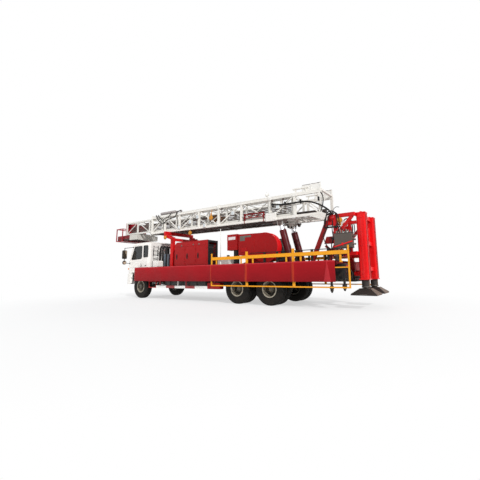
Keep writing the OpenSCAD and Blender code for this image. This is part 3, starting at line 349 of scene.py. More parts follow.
def cloth_finish(name):
    """Plain banner cloth, with painted shade towards its lower edge, a painted highlight along its top hem
    and a painted highlight on its one fold. The posts behind it show through as faint stripes.
    """
    f = Finish(name)
    height = f.axis("Z")
    base = f.clouds(srgb((164, 16, 26)), 1.2, 4, 0.12)
    # Painted shade: darker towards the lower edge.
    low = f.fit(height, CLOTH_HIGH.z, CLOTH_LOW.z, 0.0, 0.6)
    base = f.mix(low, base, srgb((96, 10, 17)))
    # Painted highlight: a lighter band along the top hem.
    hem = f.fit(height, CLOTH_HIGH.z - 0.05, CLOTH_HIGH.z - 0.03, 0.0, 0.35)
    base = f.mix(hem, base, srgb((206, 74, 82)))
    # Painted highlight: a lighter triangle on the fold.
    half = f.fit(height, CLOTH_LOW.z, CLOTH_HIGH.z, FOLD_HALF, 0.0)
    fold = f.maths("LESS_THAN", f.away("X", TANDEM + FOLD_X), half)
    base = f.mix(f.times(fold, 0.42), base, srgb((206, 62, 70)))
    for x in POSTS:
        base = f.mix(f.fit(f.away("X", x + TANDEM), 0.026, 0.016, 0.0, 0.3), base, srgb((214, 84, 40)))
    f.set(Base_Color=base, Roughness=0.62, Sheen_Weight=0.04, Specular_IOR_Level=0.12)
    f.bump(f.maths("ADD", f.waves("X", 160), f.waves("Z", 160)), 0.25, 0.0006)
    return f.material


# Meshes


def show(name, data):
    """Puts an object with some data in the scene."""
    made = bpy.data.objects.new(name, data)
    bpy.context.scene.collection.objects.link(made)
    return made


def show_mesh(name, verts, faces, smooth, material):
    mesh = bpy.data.meshes.new(name)
    mesh.from_pydata(verts, [], faces)
    for face, soft in zip(mesh.polygons, smooth):
        face.use_smooth = soft
    mesh.materials.append(material)
    mesh.validate()
    return show(name, mesh)


class Shape:
    """Vertices and faces of one piece, gathered from boxes, bars, tubes and turned profiles.
    Points are given for a place function such as at or on_mast. While side is -1 they go to the right."""

    def __init__(self, place=at, side=1):
        self.place = place
        self.side = side
        self.verts = []
        self.faces = []
        self.smooth = []

    def spot(self, point):
        return self.place(point[0], self.side * point[1], point[2])

    def add(self, verts, faces, smooth=False):
        start = len(self.verts)
        self.verts += verts
        self.faces += [[start + i for i in face] for face in faces]
        self.smooth += [smooth] * len(faces)

    def loft(self, rings, closed=False, smooth=False):
        """Skin over rings of equally many spots, with caps unless it is closed."""
        n = len(rings[0])
        faces = []
        for i in range(len(rings) if closed else len(rings) - 1):
            a, b = i * n, (i + 1) % len(rings) * n
            faces += [[a + j, a + (j + 1) % n, b + (j + 1) % n, b + j] for j in range(n)]
        if not closed:
            faces += [list(range(n))[::-1], [(len(rings) - 1) * n + j for j in range(n)]]
        self.add([p for ring in rings for p in ring], faces, smooth)

    def skin(self, rings):
        """Flat faces over rings of equally many points."""
        self.loft([[self.spot(p) for p in ring] for ring in rings])

    def box(self, low, high, chamfer):
        """A box between two corners, its upright edges and rims chamfered."""
        pairs = list(zip(self.spot(low), self.spot(high)))
        lo, hi = Vector([min(pair) for pair in pairs]), Vector([max(pair) for pair in pairs])
        c = min(chamfer, min(hi - lo) * 0.45)
        k = c * 0.6
        rings = []
        for z, inset in ((lo.z, c), (lo.z + c, 0), (hi.z - c, 0), (hi.z, c)):
            x0, x1, y0, y1 = lo.x + inset, hi.x - inset, lo.y + inset, hi.y - inset
            ring = [(x0 + k, y0), (x1 - k, y0), (x1, y0 + k), (x1, y1 - k),
                    (x1 - k, y1), (x0 + k, y1), (x0, y1 - k), (x0, y0 + k)]
            rings.append([Vector((x, y, z)) for x, y in ring])
        self.loft(rings)

    def bar(self, a, b, wide, high=None, up=(0, 0, 1)):
        """A rectangular bar from a to b."""
        high = high or wide
        a, b = self.spot(a), self.spot(b)
        along = (b - a).normalized()
        side = along.cross(Vector(up))
        if side.length < 1e-4:
            side = along.cross(Vector((1, 0, 0)))
        side.normalize()
        top = side.cross(along)
        corners = [side * wide / 2 * i + top * high / 2 * j for i, j in CORNERS]
        self.loft([[a + c for c in corners], [b + c for c in corners]])

    def tube(self, points, radius, sides=10, closed=False):
        """A round tube along points. radius is a number, or one for each point."""
        points = [self.spot(p) for p in points]
        count = len(points)
        side = None
        rings = []
        for i, p in enumerate(points):
            before = points[(i - 1) % count] if closed or i else p
            after = points[(i + 1) % count] if closed or i < count - 1 else p
            along = (after - before).normalized()
            side = side or along.orthogonal()
            side = (side - along * side.dot(along)).normalized()
            other = along.cross(side)
            r = radius[i] if isinstance(radius, list) else radius
            rings.append([p + side * math.cos(t) * r + other * math.sin(t) * r for t in turns(sides)])
        self.loft(rings, closed, smooth=True)

    def slab(self, x, half, y, z, chamfer):
        """A box from half before x to half past it, between pairs of y and z."""
        self.box((x - half, y[0], z[0]), (x + half, y[1], z[1]), chamfer)

    def turned(self, profile, centre, axis, sides):
        """A profile of (radius, along) points turned about an axis through centre."""
        centre = self.spot(centre)
        flip = self.side if axis == "Y" else 1
        n = len(profile)
        faces = []
        for k in range(sides):
            a, b = k * n, (k + 1) % sides * n
            faces += [[a + j, a + j + 1, b + j + 1, b + j] for j in range(n - 1)]
        verts = [centre + about(axis, r, along * flip, t) for t in turns(sides) for r, along in profile]
        self.add(verts, faces, True)

    def bolt(self, place, out=(0, 1, 0), radius=0.010, high=0.009):
        """A hexagon head with a washer, standing out from a face."""
        place = self.spot(place)
        out = Vector((out[0], out[1] * self.side, out[2]))
        side = out.orthogonal().normalized()
        other = out.cross(side)
        for r, low, top, n in ((radius * 1.35, 0, high * 0.3, 12), (radius, high * 0.3, high, 6)):
            ring = [side * math.cos(t) * r + other * math.sin(t) * r for t in turns(n)]
            self.loft([[place + out * low + v for v in ring], [place + out * top + v for v in ring]])

    def bolts(self, xs, y, zs, radius=0.010, high=0.009):
        """Bolts at every pair of x and z on a face to the side."""
        for x, z in product(xs, zs):
            self.bolt((x, y, z), (0, 1, 0), radius, high)

    def bolt_circle(self, centre, reach, count, shift, out, radius, high):
        """Bolts in a circle about the axis that they stand out along."""
        axis = "Z" if out[2] else "Y"
        for t in turns(count, shift):
            self.bolt(Vector(centre) + about(axis, reach, 0, t), out, radius, high)

    def ring(self, centre, radius, thick, axis="Y", sides=24, tube_sides=8):
        """A round bar bent into a ring about an axis."""
        points = [Vector(centre) + about(axis, radius, 0, t) for t in turns(sides)]
        self.tube(points, thick, tube_sides, closed=True)

    def piece(self, name, material, slot, body="chassis"):
        """Makes the shape an object that rides on a body."""
        made = show_mesh(name, self.verts, self.faces, self.smooth, material)
        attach(made, body)
        return made


def both_sides(*shapes):
    """Puts the shapes to the left side and then to the right, for a loop that makes the same on both."""
    for side in (1, -1):
        for shape in shapes:
            shape.side = side
        yield side
    for shape in shapes:
        shape.side = 1


def curve(points, between=8):
    """A smooth line through points, as more points."""
    points = [Vector(p) for p in points]
    padded = [points[0] * 2 - points[1]] + points + [points[-1] * 2 - points[-2]]
    line = []
    for i in range(1, len(padded) - 2):
        p0, p1, p2, p3 = padded[i - 1:i + 3]
        for t in (k / between for k in range(between)):
            line.append(0.5 * ((2 * p1) + (p2 - p0) * t + (2 * p0 - 5 * p1 + 4 * p2 - p3) * t * t
                               + (3 * p1 - p0 - 3 * p2 + p3) * t ** 3))
    return line + [points[-1]]


def rounded(outline, radius, between=4):
    """A closed outline with its corners rounded."""
    line = []
    count = len(outline)
    for i, point in enumerate(outline):
        here = Vector(point)
        before = Vector(outline[i - 1]) - here
        after = Vector(outline[(i + 1) % count]) - here
        reach = min(radius, before.length * 0.45, after.length * 0.45)
        a, b = here + before.normalized() * reach, here + after.normalized() * reach
        for t in (k / between for k in range(between + 1)):
            line.append(a * (1 - t) ** 2 + here * 2 * t * (1 - t) + b * t ** 2)
    return line


# Camera, light and floor

CAMERA_AT = (-5.758, 9.589, 1.023)
CAMERA_YAW, CAMERA_PITCH, CAMERA_ROLL = 34.761, 8.287, -0.656
FOCAL_PIXELS, PICTURE = 289.67, 480
AXIS_AT = (250.3, 232.6)


def set_camera():
    data = bpy.data.cameras.new("camera")
    camera = show("camera", data)
    yaw, pitch = math.radians(CAMERA_YAW), math.radians(CAMERA_PITCH)
    forward = Vector((math.sin(yaw) * math.cos(pitch), -math.cos(yaw) * math.cos(pitch), math.sin(pitch)))
    roll = Matrix.Rotation(math.radians(CAMERA_ROLL), 4, "Z").to_quaternion()
    camera.rotation_mode = "QUATERNION"
    camera.rotation_quaternion = forward.to_track_quat("-Z", "Y") @ roll
    camera.location = at(*CAMERA_AT)
    data.sensor_width = 36
    data.lens = FOCAL_PIXELS / PICTURE * data.sensor_width
    data.shift_x = (PICTURE / 2 - AXIS_AT[0]) / PICTURE
    data.shift_y = (AXIS_AT[1] - PICTURE / 2) / PICTURE
    data.clip_end = 300
    bpy.context.scene.camera = camera


def lamp(name, kind, place, aim, energy, **settings):
    """A lamp at a place that shines towards another."""
    data = bpy.data.lights.new(name, kind)
    data.energy = energy
    for key, value in settings.items():
        setattr(data, key, value)
    made = show(name, data)
    made.location = Vector(place)
    made.rotation_euler = (Vector(aim) - made.location).to_track_quat("-Z", "Y").to_euler()


def white_behind(nodes, lit, flat):
    """Mixes two shaders: flat where a camera, mirror or glass ray looks, lit for the light itself."""
    path = nodes.node("ShaderNodeLightPath").outputs
    seen = nodes.maths("MAXIMUM", path["Is Camera Ray"], path["Is Transmission Ray"])
    return nodes.blend(nodes.maths("MAXIMUM", seen, path["Is Glossy Ray"]), lit, flat)


def set_light():
    world = bpy.data.worlds.new("studio")
    bpy.context.scene.world = world
    world.use_nodes = True
    nodes = Nodes(world.node_tree)
    lit = world.node_tree.nodes["Background"]
    lit.inputs["Color"].default_value = (0.93, 0.96, 1.0, 1)
    lit.inputs["Strength"].default_value = 0.42
    flat = nodes.node("ShaderNodeBackground", {"Color": (1, 1, 1, 1), "Strength": 1.0})
    surface = world.node_tree.nodes["World Output"].inputs["Surface"]
    nodes.put(surface, white_behind(nodes, lit.outputs[0], flat.outputs[0]))
    lamp("key", "SUN", (-22, 13, 15), (0, 0, 0), 2.6, angle=math.radians(4))
    lamp("side", "AREA", (2, 26, 13), (0, 0, 1.5), 900, size=14)
    lamp("front", "AREA", (22, 10, 12), (1, 0, 1.5), 700, size=14)
    lamp("back", "AREA", (4, -22, 14), (0, 0, 1.5), 1500, size=14)


def set_floor():
    """A floor that shows the rig's shadow near it and turns to plain white further out."""
    f = Finish("floor")
    f.set(Base_Color=(0.86, 0.86, 0.86, 1), Roughness=0.9)
    position = f.node("ShaderNodeNewGeometry").outputs["Position"]
    far = f.node("ShaderNodeVectorMath", {0: position}, operation="LENGTH").outputs["Value"]
    flat = f.node("ShaderNodeEmission", {"Color": (1, 1, 1, 1)}).outputs[0]
    lit = f.shader.outputs[0]
    both = f.blend(f.fit(far, 5.0, 10.5, 0.55, 1.0), lit, flat)
    f.put(f.tree.nodes["Material Output"].inputs["Surface"], white_behind(f, lit, both))
    half = 150
    verts = [(half * a, half * b, 0) for a, b in CORNERS]
    show_mesh("floor", verts, [(0, 1, 2, 3)], [False], f.material)


# Tyres with tread

SIDEWALL = [(0, 0.36), (0.03, 0.405), (0.06, 0.40), (0.10, 0.43), (0.26, 0.478), (0.30, 0.487), (0.32, 0.482),
            (0.50, 0.498), (0.53, 0.5), (0.56, 0.494), (0.75, 0.487), (0.79, 0.49), (0.82, 0.478),
            (0.91, 0.44), (0.955, 0.40), (0.972, 0.375), (0.972, 0.30)]
TREAD_DEEP = 0.016
RIBS = [(-0.36, -0.235, 0.012, 0.006), (-0.205, -0.085, 0.012, 0), (-0.055, 0.055, 0, 0),
        (0.085, 0.205, -0.012, 0), (0.235, 0.36, -0.012, 0.006)]
BLOCKS = 54


def tyre(shape, x, y):
    """One tyre: carcass with raised sidewall rings, and ribs cut into blocks that step round it."""
    seat = RIM_R + 0.0005
    under = TYRE_R - TREAD_DEEP
    side = [(seat + p * (TYRE_R - seat) if p < 0.95 else under + 0.001, s * TYRE_W) for p, s in SIDEWALL]
    profile = [(r, y - s) for r, s in side] + [(r, y + s) for r, s in reversed(side)]
    shape.turned(profile, (x, 0, TYRE_R), "Y", 72)
    for n, (a, b, skew, drop) in enumerate(RIBS):
        for t0 in turns(BLOCKS, n % 2 / 2):
            t1 = t0 + 2 * math.pi * 0.8 / BLOCKS
            crown = TYRE_R - drop
            arc = ((t0, under - 0.002), (t0 + 0.004, crown), (t1 - 0.004, crown), (t1, under - 0.002))
            verts = [at(x, 0, TYRE_R) + about("Y", r, y + edge * TYRE_W, t + bend)
                     for t, r in arc for edge, bend in ((a, -skew), (b, skew))]
            shape.add(verts, [[0, 1, 3, 2], [2, 3, 5, 4], [4, 5, 7, 6], [0, 2, 4, 6], [1, 7, 5, 3]])


def make_tyres(material):
    wheels = [("front", AXLE_F, [FRONT_TRACK])]
    wheels += [(f"rear_{n}", x, [REAR_TRACK, REAR_TRACK - TWIN_PITCH]) for n, x in ((1, AXLE_1), (2, AXLE_2))]
    for name, x, tracks in wheels:
        for side, hand in SIDES:
            shape = Shape()
            for y in tracks:
                tyre(shape, x, side * y)
            made = shape.piece(f"tread_{name}_{hand}", material, "tyre", f"wheel_{name}_{hand}")
            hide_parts(f"tyre_{name}_{hand}")


# Cloth along the left side


def cloth_bulge(x, share):
    """How far the cloth stands out from the rails. share goes from 0 at its lower edge to 1 at its top."""
    out = 0.002
    for post in POSTS:
        out += 0.012 * math.exp(-((x - post) / 0.05) ** 2)
    nearest = min(abs(x - tie) for tie in TIES)
    slack = 0.5 - 0.5 * math.cos(min(1.0, nearest / 0.5) * math.pi)
    out += 0.020 * slack * (0.3 + 0.7 * abs(share - 0.5) * 2)
    out += 0.012 * (1 + noise.noise(Vector((x * 0.9, share * 1.4, 3.1))))
    wave = x * 3.1 - share * 2.2
    out += 0.006 * (1 + math.sin(wave * 2.0 + 2 * noise.noise(Vector((x, share, 0))))) * (1 - share) ** 0.6
    crease = (x - FOLD_X) / (0.03 + 0.09 * (1 - share))
    out += 0.018 * math.exp(-crease ** 2)
    return out


def make_cloth(material):
    long, tall = CLOTH_HIGH.x - CLOTH_LOW.x, CLOTH_HIGH.z - CLOTH_LOW.z
    columns, rows, inset = 420, 28, 0.004
    verts, faces = [], []
    for i in range(columns + 1):
        x = CLOTH_LOW.x + inset + (long - 2 * inset) * i / columns
        reach = min(1.0, (i + 1) / 6, (columns - i + 1) / 6)
        for j in range(rows + 1):
            y = CLOTH_LOW.y + 0.0005 + cloth_bulge(x - TANDEM, j / rows) * reach
            verts.append((x, y, CLOTH_LOW.z + inset + (tall - 2 * inset) * j / rows))
    for i, j in product(range(columns), range(rows)):
        a = i * (rows + 1) + j
        faces.append((a, a + rows + 1, a + rows + 2, a + 1))
    cloth = show_mesh("cloth", verts, faces, [True] * len(faces), material)
    thick = cloth.modifiers.new("thickness", "SOLIDIFY")
    thick.thickness = 0.0012
    thick.offset = 1
    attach(cloth, "chassis")
    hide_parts("banner")


# Wheels and cab


def make_wheel_trim(nuts):
    """Ten nuts on every wheel disc, and a ring of screws on each hub's cap."""
    rear_mid = REAR_TRACK - TWIN_PITCH / 2
    wheels = [("front", AXLE_F, FRONT_TRACK + 0.066, 0.13, FRONT_TRACK + 0.140)]
    for n, x in ((1, AXLE_1), (2, AXLE_2)):
        wheels.append((f"rear_{n}", x, rear_mid + 0.014, 0.16, rear_mid + 0.188))
    for name, x, face, reach, cap in wheels:
        for side, hand in SIDES:
            shape = Shape(at, side)
            shape.bolt_circle((x, face, TYRE_R), reach, 10, 0, (0, 1, 0), 0.017, 0.03)
            shape.bolt_circle((x, cap, TYRE_R), 0.048, 8, 0.5, (0, 1, 0), 0.006, 0.008)
            shape.piece(f"nuts_{name}_{hand}", nuts, "rim_silver", f"wheel_{name}_{hand}")


def front_x(z):
    """The cab's slanted front face at a height."""
    return CAB_X1 - 0.11 - (z - 1.79) * 0.3 / 0.72


def side_y(x):
    """Half width of the cab at a length, with its rounded corners."""
    past = max(CAB_X0 + CAB_CORNER - x, x - (CAB_X1 - CAB_CORNER), 0.0)
    return CAB_Y - CAB_CORNER + math.sqrt(max(CAB_CORNER ** 2 - past ** 2, 0))


def window_seal(shape, outline):
    """A seal round a side window, on the cab's side with its rounded corners."""
    line = rounded(outline, 0.05)
    fine = []
    for p, q in zip(line, line[1:] + line[:1]):
        fine += [p + (q - p) * k / 3 for k in range(3)] if (q - p).length > 0.1 else [p]
    shape.tube([(p.x, side_y(p.x) + 0.001, p.y) for p in fine], 0.011, 8, closed=True)


def make_cab_doors(black):
    """Seal, handle and lock of each cab door."""
    for side, hand in SIDES:
        door = Shape(at, side)
        window_seal(door, DOOR_WINDOW)
        door.box((6.33, CAB_Y - 0.001, 1.475), (6.47, CAB_Y + 0.006, 1.55), 0.003)
        door.turned([(0, 0.02), (0.016, 0.018), (0.018, 0)], (6.42, CAB_Y, 1.60), "Y", 12)
        door.piece(f"door_trim_{hand}", black, "black_plastic", f"cab_door_{hand}")


def make_window_seals(black):
    """Seals of the rear side windows and the windscreen."""
    seal = Shape()
    for _ in both_sides(seal):
        window_seal(seal, REAR_WINDOW)
    around = rounded(WINDSCREEN, 0.06)
    seal.tube([(front_x(p.y) + 0.002, p.x, p.y) for p in around], 0.014, 8, closed=True)
    seal.piece("window_seals", black, "black_plastic")


def make_wipers_and_steps(black):
    """Wipers, grille bars, a block behind each door, wheel arch flares and the steps below the cab."""
    trim = Shape()
    for y in (-0.62, 0.08, 0.74):
        foot = Vector((front_x(1.77) + 0.02, y, 1.77))
        tip = Vector((front_x(1.86) + 0.035, y - 0.42, 1.86))
        trim.turned([(0, 0.03), (0.022, 0.024), (0.026, 0)], foot, "X", 12)
        trim.bar(foot + Vector((0.02, 0, 0)), tip, 0.014, 0.008)
        trim.bar(tip + Vector((-0.004, -0.26, 0.02)), tip + Vector((-0.004, 0.28, -0.035)), 0.012, 0.022)
    for z in steps(1.27, 0.075, 4):
        x = CAB_X1 + 0.004 - max(0, z - 1.40) * 0.1875
        trim.box((x - 0.01, -0.72, z), (x + 0.006, 0.72, z + 0.042), 0.005)
    hub = Vector((AXLE_F, 1.185, TYRE_R))
    flare = [hub + about("Y", 0.655, 0, math.radians(20 + 140 * k / 24)) for k in range(25)]
    for _ in both_sides(trim):
        trim.box((6.03, CAB_Y - 0.001, 1.49), (6.10, CAB_Y + 0.014, 1.53), 0.005)
        for a, b in zip(flare, flare[1:]):
            trim.bar(a, b, 0.07, 0.016, up=(0, 1, 0))
        for z in (0.66, 0.92):
            trim.box((7.13, 1.08, z), (7.34, 1.19, z + 0.03), 0.006)
            trim.bar((7.16, 1.1, z + 0.02), (7.16, 1.1, 1.14), 0.025)
    trim.piece("wipers_and_steps", black, "black_plastic")


def make_cab_lamps(clear, amber, mirror):
    """Head lamps, amber markers along the rig and the glass of the mirrors."""
    lamps, markers, glass = Shape(), Shape(), Shape()
    dome = [(0.052, 0), (0.05, 0.012), (0.036, 0.022), (0, 0.027)]
    for _ in both_sides(lamps, markers, glass):
        for y in (0.84, 0.98):
            lamps.turned(dome, (CAB_X1 + 0.05, y, 0.87), "X", 24)
        markers.box((7.36, 1.188, 1.34), (7.44, 1.206, 1.42), 0.008)
        markers.box((7.46, 1.02, 1.085), (7.532, 1.14, 1.125), 0.006)
        for x in (-1.9, 3.0, 4.6):
            markers.box((x, DECK_Y - 0.001, 1.30), (x + 0.09, DECK_Y + 0.012, 1.335), 0.004)
        glass.box((7.382, 1.35, 1.885), (7.3855, 1.53, 2.255), 0.001)
        glass.turned([(0, -0.003), (0.07, -0.003), (0.084, 0.001)], (7.38, 1.44, 1.68), "X", 28)
    lamps.piece("head_lamps", clear, "window_glass")
    markers.piece("amber_markers", amber, "rail_yellow")
    glass.piece("mirror_glass", mirror, "window_glass")


# Power cabinet and drawworks


def make_cabinet_trim(black, steel, red):
    """Latches and screws of the doors, three round caps and the roof's edges."""
    wide = (CABINET_X1 - CABINET_X0 - 0.06) / 3
    y = CABINET_Y + 0.004
    for i in (1, 2, 3):
        right = CABINET_X0 + 0.01 + i * wide
        door = Shape()
        door.slab(right - 0.105, 0.03, (y - 0.001, y + 0.005), (1.72, 1.95), 0.003)
        door.slab(right - 0.105, 0.017, (y + 0.003, y + 0.030), (1.785, 1.895), 0.006)
        door.bolts([right - wide + 0.075], y, (1.62, 1.638, 2.12, 2.138), 0.006, 0.005)
        door.piece(f"latch_{i}", black, "black_plastic", f"cabinet_door_{i}")
    caps = Shape()
    for x, z in ((3.84, 2.30), (3.13, 2.31), (2.80, 2.31)):
        caps.turned([(0, 0.014), (0.022, 0.014), (0.030, 0.008), (0.036, 0)], (x, CABINET_Y, z), "Y", 24)
    caps.piece("cabinet_caps", steel, "machine_gray")
    edge = Shape()
    roof = [(CABINET_X0, CABINET_TOP), (4.16, CABINET_TOP), (CABINET_X1, 2.29)]
    for (x0, z0), (x1, z1) in zip(roof, roof[1:]):
        for y in (CABINET_Y - 0.01, 0.41):
            edge.bar((x0, y, z0 + 0.004), (x1, y, z1 + 0.004), 0.03, 0.012)
    edge.piece("cabinet_edges", red, "cabinet_red")


def make_guard_trim(red, rim_highlight):
    """Bolts, cover and strips on the drawworks guard, and a painted highlight along its rounded rim."""
    shape, rim = Shape(), Shape()
    back, centre = GUARD_Y - 0.001, Vector((WINCH_X, 0, WINCH_Z))
    for angle in range(90, 271, 15):
        shape.bolt(centre + about("Y", GUARD_R - 0.03, GUARD_Y, math.radians(angle)))
    for x in (0.0, 0.2, 0.4, 0.6, 0.78):
        shape.bolt((x, GUARD_Y, WINCH_Z + GUARD_R - 0.02 + x * 0.026))
    shape.box((0.10, back, 1.62), (0.112, GUARD_Y + 0.006, 2.50), 0.002)
    shape.box((0.44, back, 1.84), (0.72, GUARD_Y + 0.012, 2.02), 0.006)
    shape.bolts((0.465, 0.695), GUARD_Y + 0.012, (1.865, 1.995), 0.008, 0.007)
    shape.box((0.90, back, 2.05), (1.35, GUARD_Y + 0.005, 2.08), 0.002)
    shape.piece("guard_fittings", red, "cabinet_red")
    # Painted highlight: a thin shell over the guard's rounded rim, in a lighter red.
    inner, outer = GUARD_R - 0.002, GUARD_R + 0.006
    corners = [(inner, 0.609), (outer, 0.609), (outer, 0.901), (inner, 0.901)]
    arc = [math.radians(84 + 178 * k / 40) for k in range(41)]
    rim.skin([[centre + about("Y", r, y, t) for r, y in corners] for t in arc])
    rim.piece("guard_rim_highlight", rim_highlight, "bright_red")


def make_gearbox_trim(plate, steel):
    """The blank plate and the bare patch beside the guard, and the rope on the drum."""
    sign, bare, rope = Shape(), Shape(), Shape()
    back = GUARD_Y - 0.001
    sign.box((0.97, back, 2.36), (1.31, GUARD_Y + 0.0035, 2.475), 0.002)
    sign.bolts((0.985, 1.295), GUARD_Y + 0.0035, (2.372, 2.463), 0.004, 0.003)
    sign.piece("blank_plate", plate, "cab_white")
    bare.box((0.52, back, 2.28), (0.75, GUARD_Y + 0.0025, 2.47), 0.001)
    bare.box((0.24, back, 2.40), (0.5205, GUARD_Y + 0.0022, 2.47), 0.001)
    bare.piece("bare_patch", steel, "machine_gray")
    for y in steps(-0.31, 0.052, 13):
        rope.ring((WINCH_X, y, WINCH_Z), 0.272, 0.013, "Y", 40, 6)
    rope.piece("drum_rope", steel, "drum_steel", "drum")


# Mast


def make_mast_hoses(black):
    """Hoses tied along the outer section, held at both ends, so they turn with it."""
    hoses = Shape()
    runs = [
        (0.655, 0.028, [(-0.50, 3.54), (-0.79, 3.51), (-1.07, 3.49), (-1.35, 3.48), (-1.65, 3.48),
                        (-1.94, 3.45), (-2.12, 3.39), (-2.29, 3.31), (-2.49, 3.18), (-2.65, 3.04),
                        (-2.75, 2.88)]),
        (0.60, 0.018, [(-2.30, 3.79), (-2.41, 3.66), (-2.45, 3.50), (-2.43, 3.30), (-2.38, 3.14),
                       (-2.32, 3.03)]),
        (0.655, 0.022, [(6.12, 4.00), (6.05, 3.88), (5.89, 3.69), (5.58, 3.53), (5.29, 3.66), (5.0, 3.71),
                        (4.72, 3.75), (4.59, 3.94), (4.32, 4.02)]),
        (0.668, 0.018, [(5.95, 3.98), (5.80, 3.82), (5.62, 3.70), (5.36, 3.78), (5.10, 3.86), (4.96, 3.99)])]
    for y, radius, points in runs:
        hoses.tube(curve([(x, y, z) for x, z in points], 5), radius, 10)
    hoses.place = on_mast
    for u in (0.45, 1.1, 1.7, 2.2):
        hoses.slab(u, 0.02, (0.612, 0.69), (0.66, 0.80), 0.006)
    hoses.piece("mast_hoses", black, "black_paint", "mast")


def make_mast_pipes(steel, gray):
    """Pipes on the chords and cross members of the outer section, and a bundle inside the inner one."""
    pipes, bundle = Shape(on_mast), Shape(on_mast)
    for y, w, radius in ((0.585, 1.068, 0.016), (0.545, 1.064, 0.012), (-0.585, 1.068, 0.016)):
        pipes.tube([(u, y, w) for u in (0.5, 3.0, 6.0, 9.2)], radius, 8)
    for _ in both_sides(pipes):
        for u in steps(0.9, 0.95, 9):
            pipes.box((u, 0.525, 1.048), (u + 0.04, 0.605, 1.07), 0.004)
    for y, w, radius in ((0.33, 0.185, 0.022), (0.24, 0.180, 0.016), (-0.30, 0.185, 0.022),
                         (0.44, 0.188, 0.013)):
        pipes.tube([(u, y, w) for u in (0.7, 4.05, 7.4)], radius, 8)
    for u in steps(1.2, 1.3, 5):
        pipes.box((u, -0.34, 0.198), (u + 0.035, 0.47, 0.214), 0.003)
    pipes.piece("mast_pipes", steel, "rod_chrome", "mast")
    for y, w, radius in ((0.385, 0.44, 0.020), (0.39, 0.50, 0.024), (0.385, 0.565, 0.018),
                         (0.39, 0.625, 0.026), (0.385, 0.69, 0.018), (0.39, 0.745, 0.020)):
        line = [(u, y, w + 0.004 * math.sin(u * 3 + w * 20)) for u in steps(1.52, 0.49, 21)]
        bundle.tube(line, radius, 8)
    for u in steps(1.45, 1.02, 11):
        bundle.slab(u, 0.018, (0.405, 0.425), (0.40, 0.80), 0.003)
        bundle.slab(u, 0.018, (0.42, 0.45), (0.56, 0.60), 0.003)
    bundle.piece("pipe_bundle", gray, "machine_gray", "mast_top")


def make_belly_shade_sheet(brown):
    """A thin dark sheet on the outer section's lower cross members: painted shade for the mast's shaded
    underside.
    """
    out, inner, under, floor, rim = 0.43, 0.425, 0.2503, 0.256, 0.302
    outline = [(-out, under), (out, under), (out, rim), (inner, rim),
               (inner, floor), (-inner, floor), (-inner, rim), (-out, rim)]
    shade_sheet = Shape(on_mast)
    # Painted shade: a dark brown sheet across the mast's underside.
    shade_sheet.skin([[(u, y, w) for y, w in outline] for u in (2.20, 9.24)])
    shade_sheet.piece("belly_shade_sheet", brown, "dark_red", "mast")


def make_mast_plates(white):
    """Plates and bolts on the outer section's chords, and the panels on its rear end."""
    plates = Shape(on_mast)
    for _ in both_sides(plates):
        for u in (4.85, 2.35):
            plates.slab(u, 0.065, (0.620, 0.650), (0.19, 0.42), 0.01)
            plates.slab(u, 0.055, (0.620, 0.645), (0.93, 1.06), 0.01)
            plates.bolts([u], 0.650, (0.23, 0.30, 0.37, 0.98), 0.014, 0.014)
        plates.box((2.06, 0.618, 0.16), (2.52, 0.652, 0.46), 0.02)
        plates.bolts((2.11, 2.47), 0.652, (0.21, 0.41), 0.014, 0.014)
        for u, w in product(OUTER_STATIONS[1:-1], (0.2, 0.96)):
            plates.slab(u, 0.10, (0.616, 0.624), (w - 0.002, w + 0.092), 0.004)
            plates.bolts((u - 0.07, u + 0.07), 0.624, [w + 0.045], high=0.008)
        plates.skin([[(u, PANEL_Y + 0.008 * i, 1.175 + 0.13 * j) for i, j in CORNERS] for u in (0.39, 1.07)])
        for u in (0.42, 0.74, 1.04):
            plates.slab(u, 0.015, (PANEL_Y - 0.02, PANEL_Y + 0.02), (1.045, 1.30), 0.003)
    plates.piece("mast_fittings", white, "mast_white", "mast")


def make_top_cylinder(gray):
    """A cylinder with its rod, lying on the left upper chord."""
    y, w = 0.50, 1.176
    cylinder = Shape(on_mast)
    cylinder.tube([(u, y, w) for u in (7.62, 7.66, 8.66, 8.70)], [0.05, 0.070, 0.070, 0.05], 20)
    cylinder.tube([(7.2, y, w), (7.63, y, w)], 0.026, 12)
    for u in (7.24, 7.9, 8.5):
        cylinder.slab(u, 0.03, (0.455, 0.545), (1.04, 1.15), 0.008)
    cylinder.piece("top_cylinder", gray, "machine_gray", "mast")


def make_mast_dark_parts(dark):
    """Ragged edging on the rear panels, discs and rollers in front of them, and boxes with their cords."""
    parts = Shape(on_mast)
    for side in both_sides(parts):
        for u in steps(0.40, 0.029, 23):
            tall = 0.006 + 0.010 * abs(noise.noise(Vector((u * 14, side * PANEL_Y, 0))))
            parts.box((u, PANEL_Y - 0.012, 1.296), (u + 0.024, PANEL_Y + 0.012, 1.304 + tall), 0.002)
        parts.turned([(0, 0.03), (0.085, 0.03), (0.10, 0), (0.10, -0.02)], (1.96, PANEL_Y, 0.075), "Y", 28)
        parts.bar((1.66, 0.585, 0.16), (2.26, 0.585, 0.16), 0.05)
    for u, r in ((1.74, 0.05), (2.18, 0.06)):
        roller = [(0, 0.03), (r, 0.03), (r * 1.2, 0.012), (r, -0.012), (r * 1.2, -0.03), (0, -0.03)]
        for y in (PANEL_Y, -PANEL_Y):
            parts.turned(roller, (u, y, 0.11), "Y", 24)
    for u in (4.60, 2.2, 1.75):
        parts.box((u, 0.622, 0.86), (u + 0.06, 0.664, 0.95), 0.006)
        parts.tube([(u + 0.03, 0.655, 0.86), (u + 0.03, 0.66, 0.74)], 0.012, 8)
    parts.piece("mast_dark_parts", dark, "black_paint", "mast")


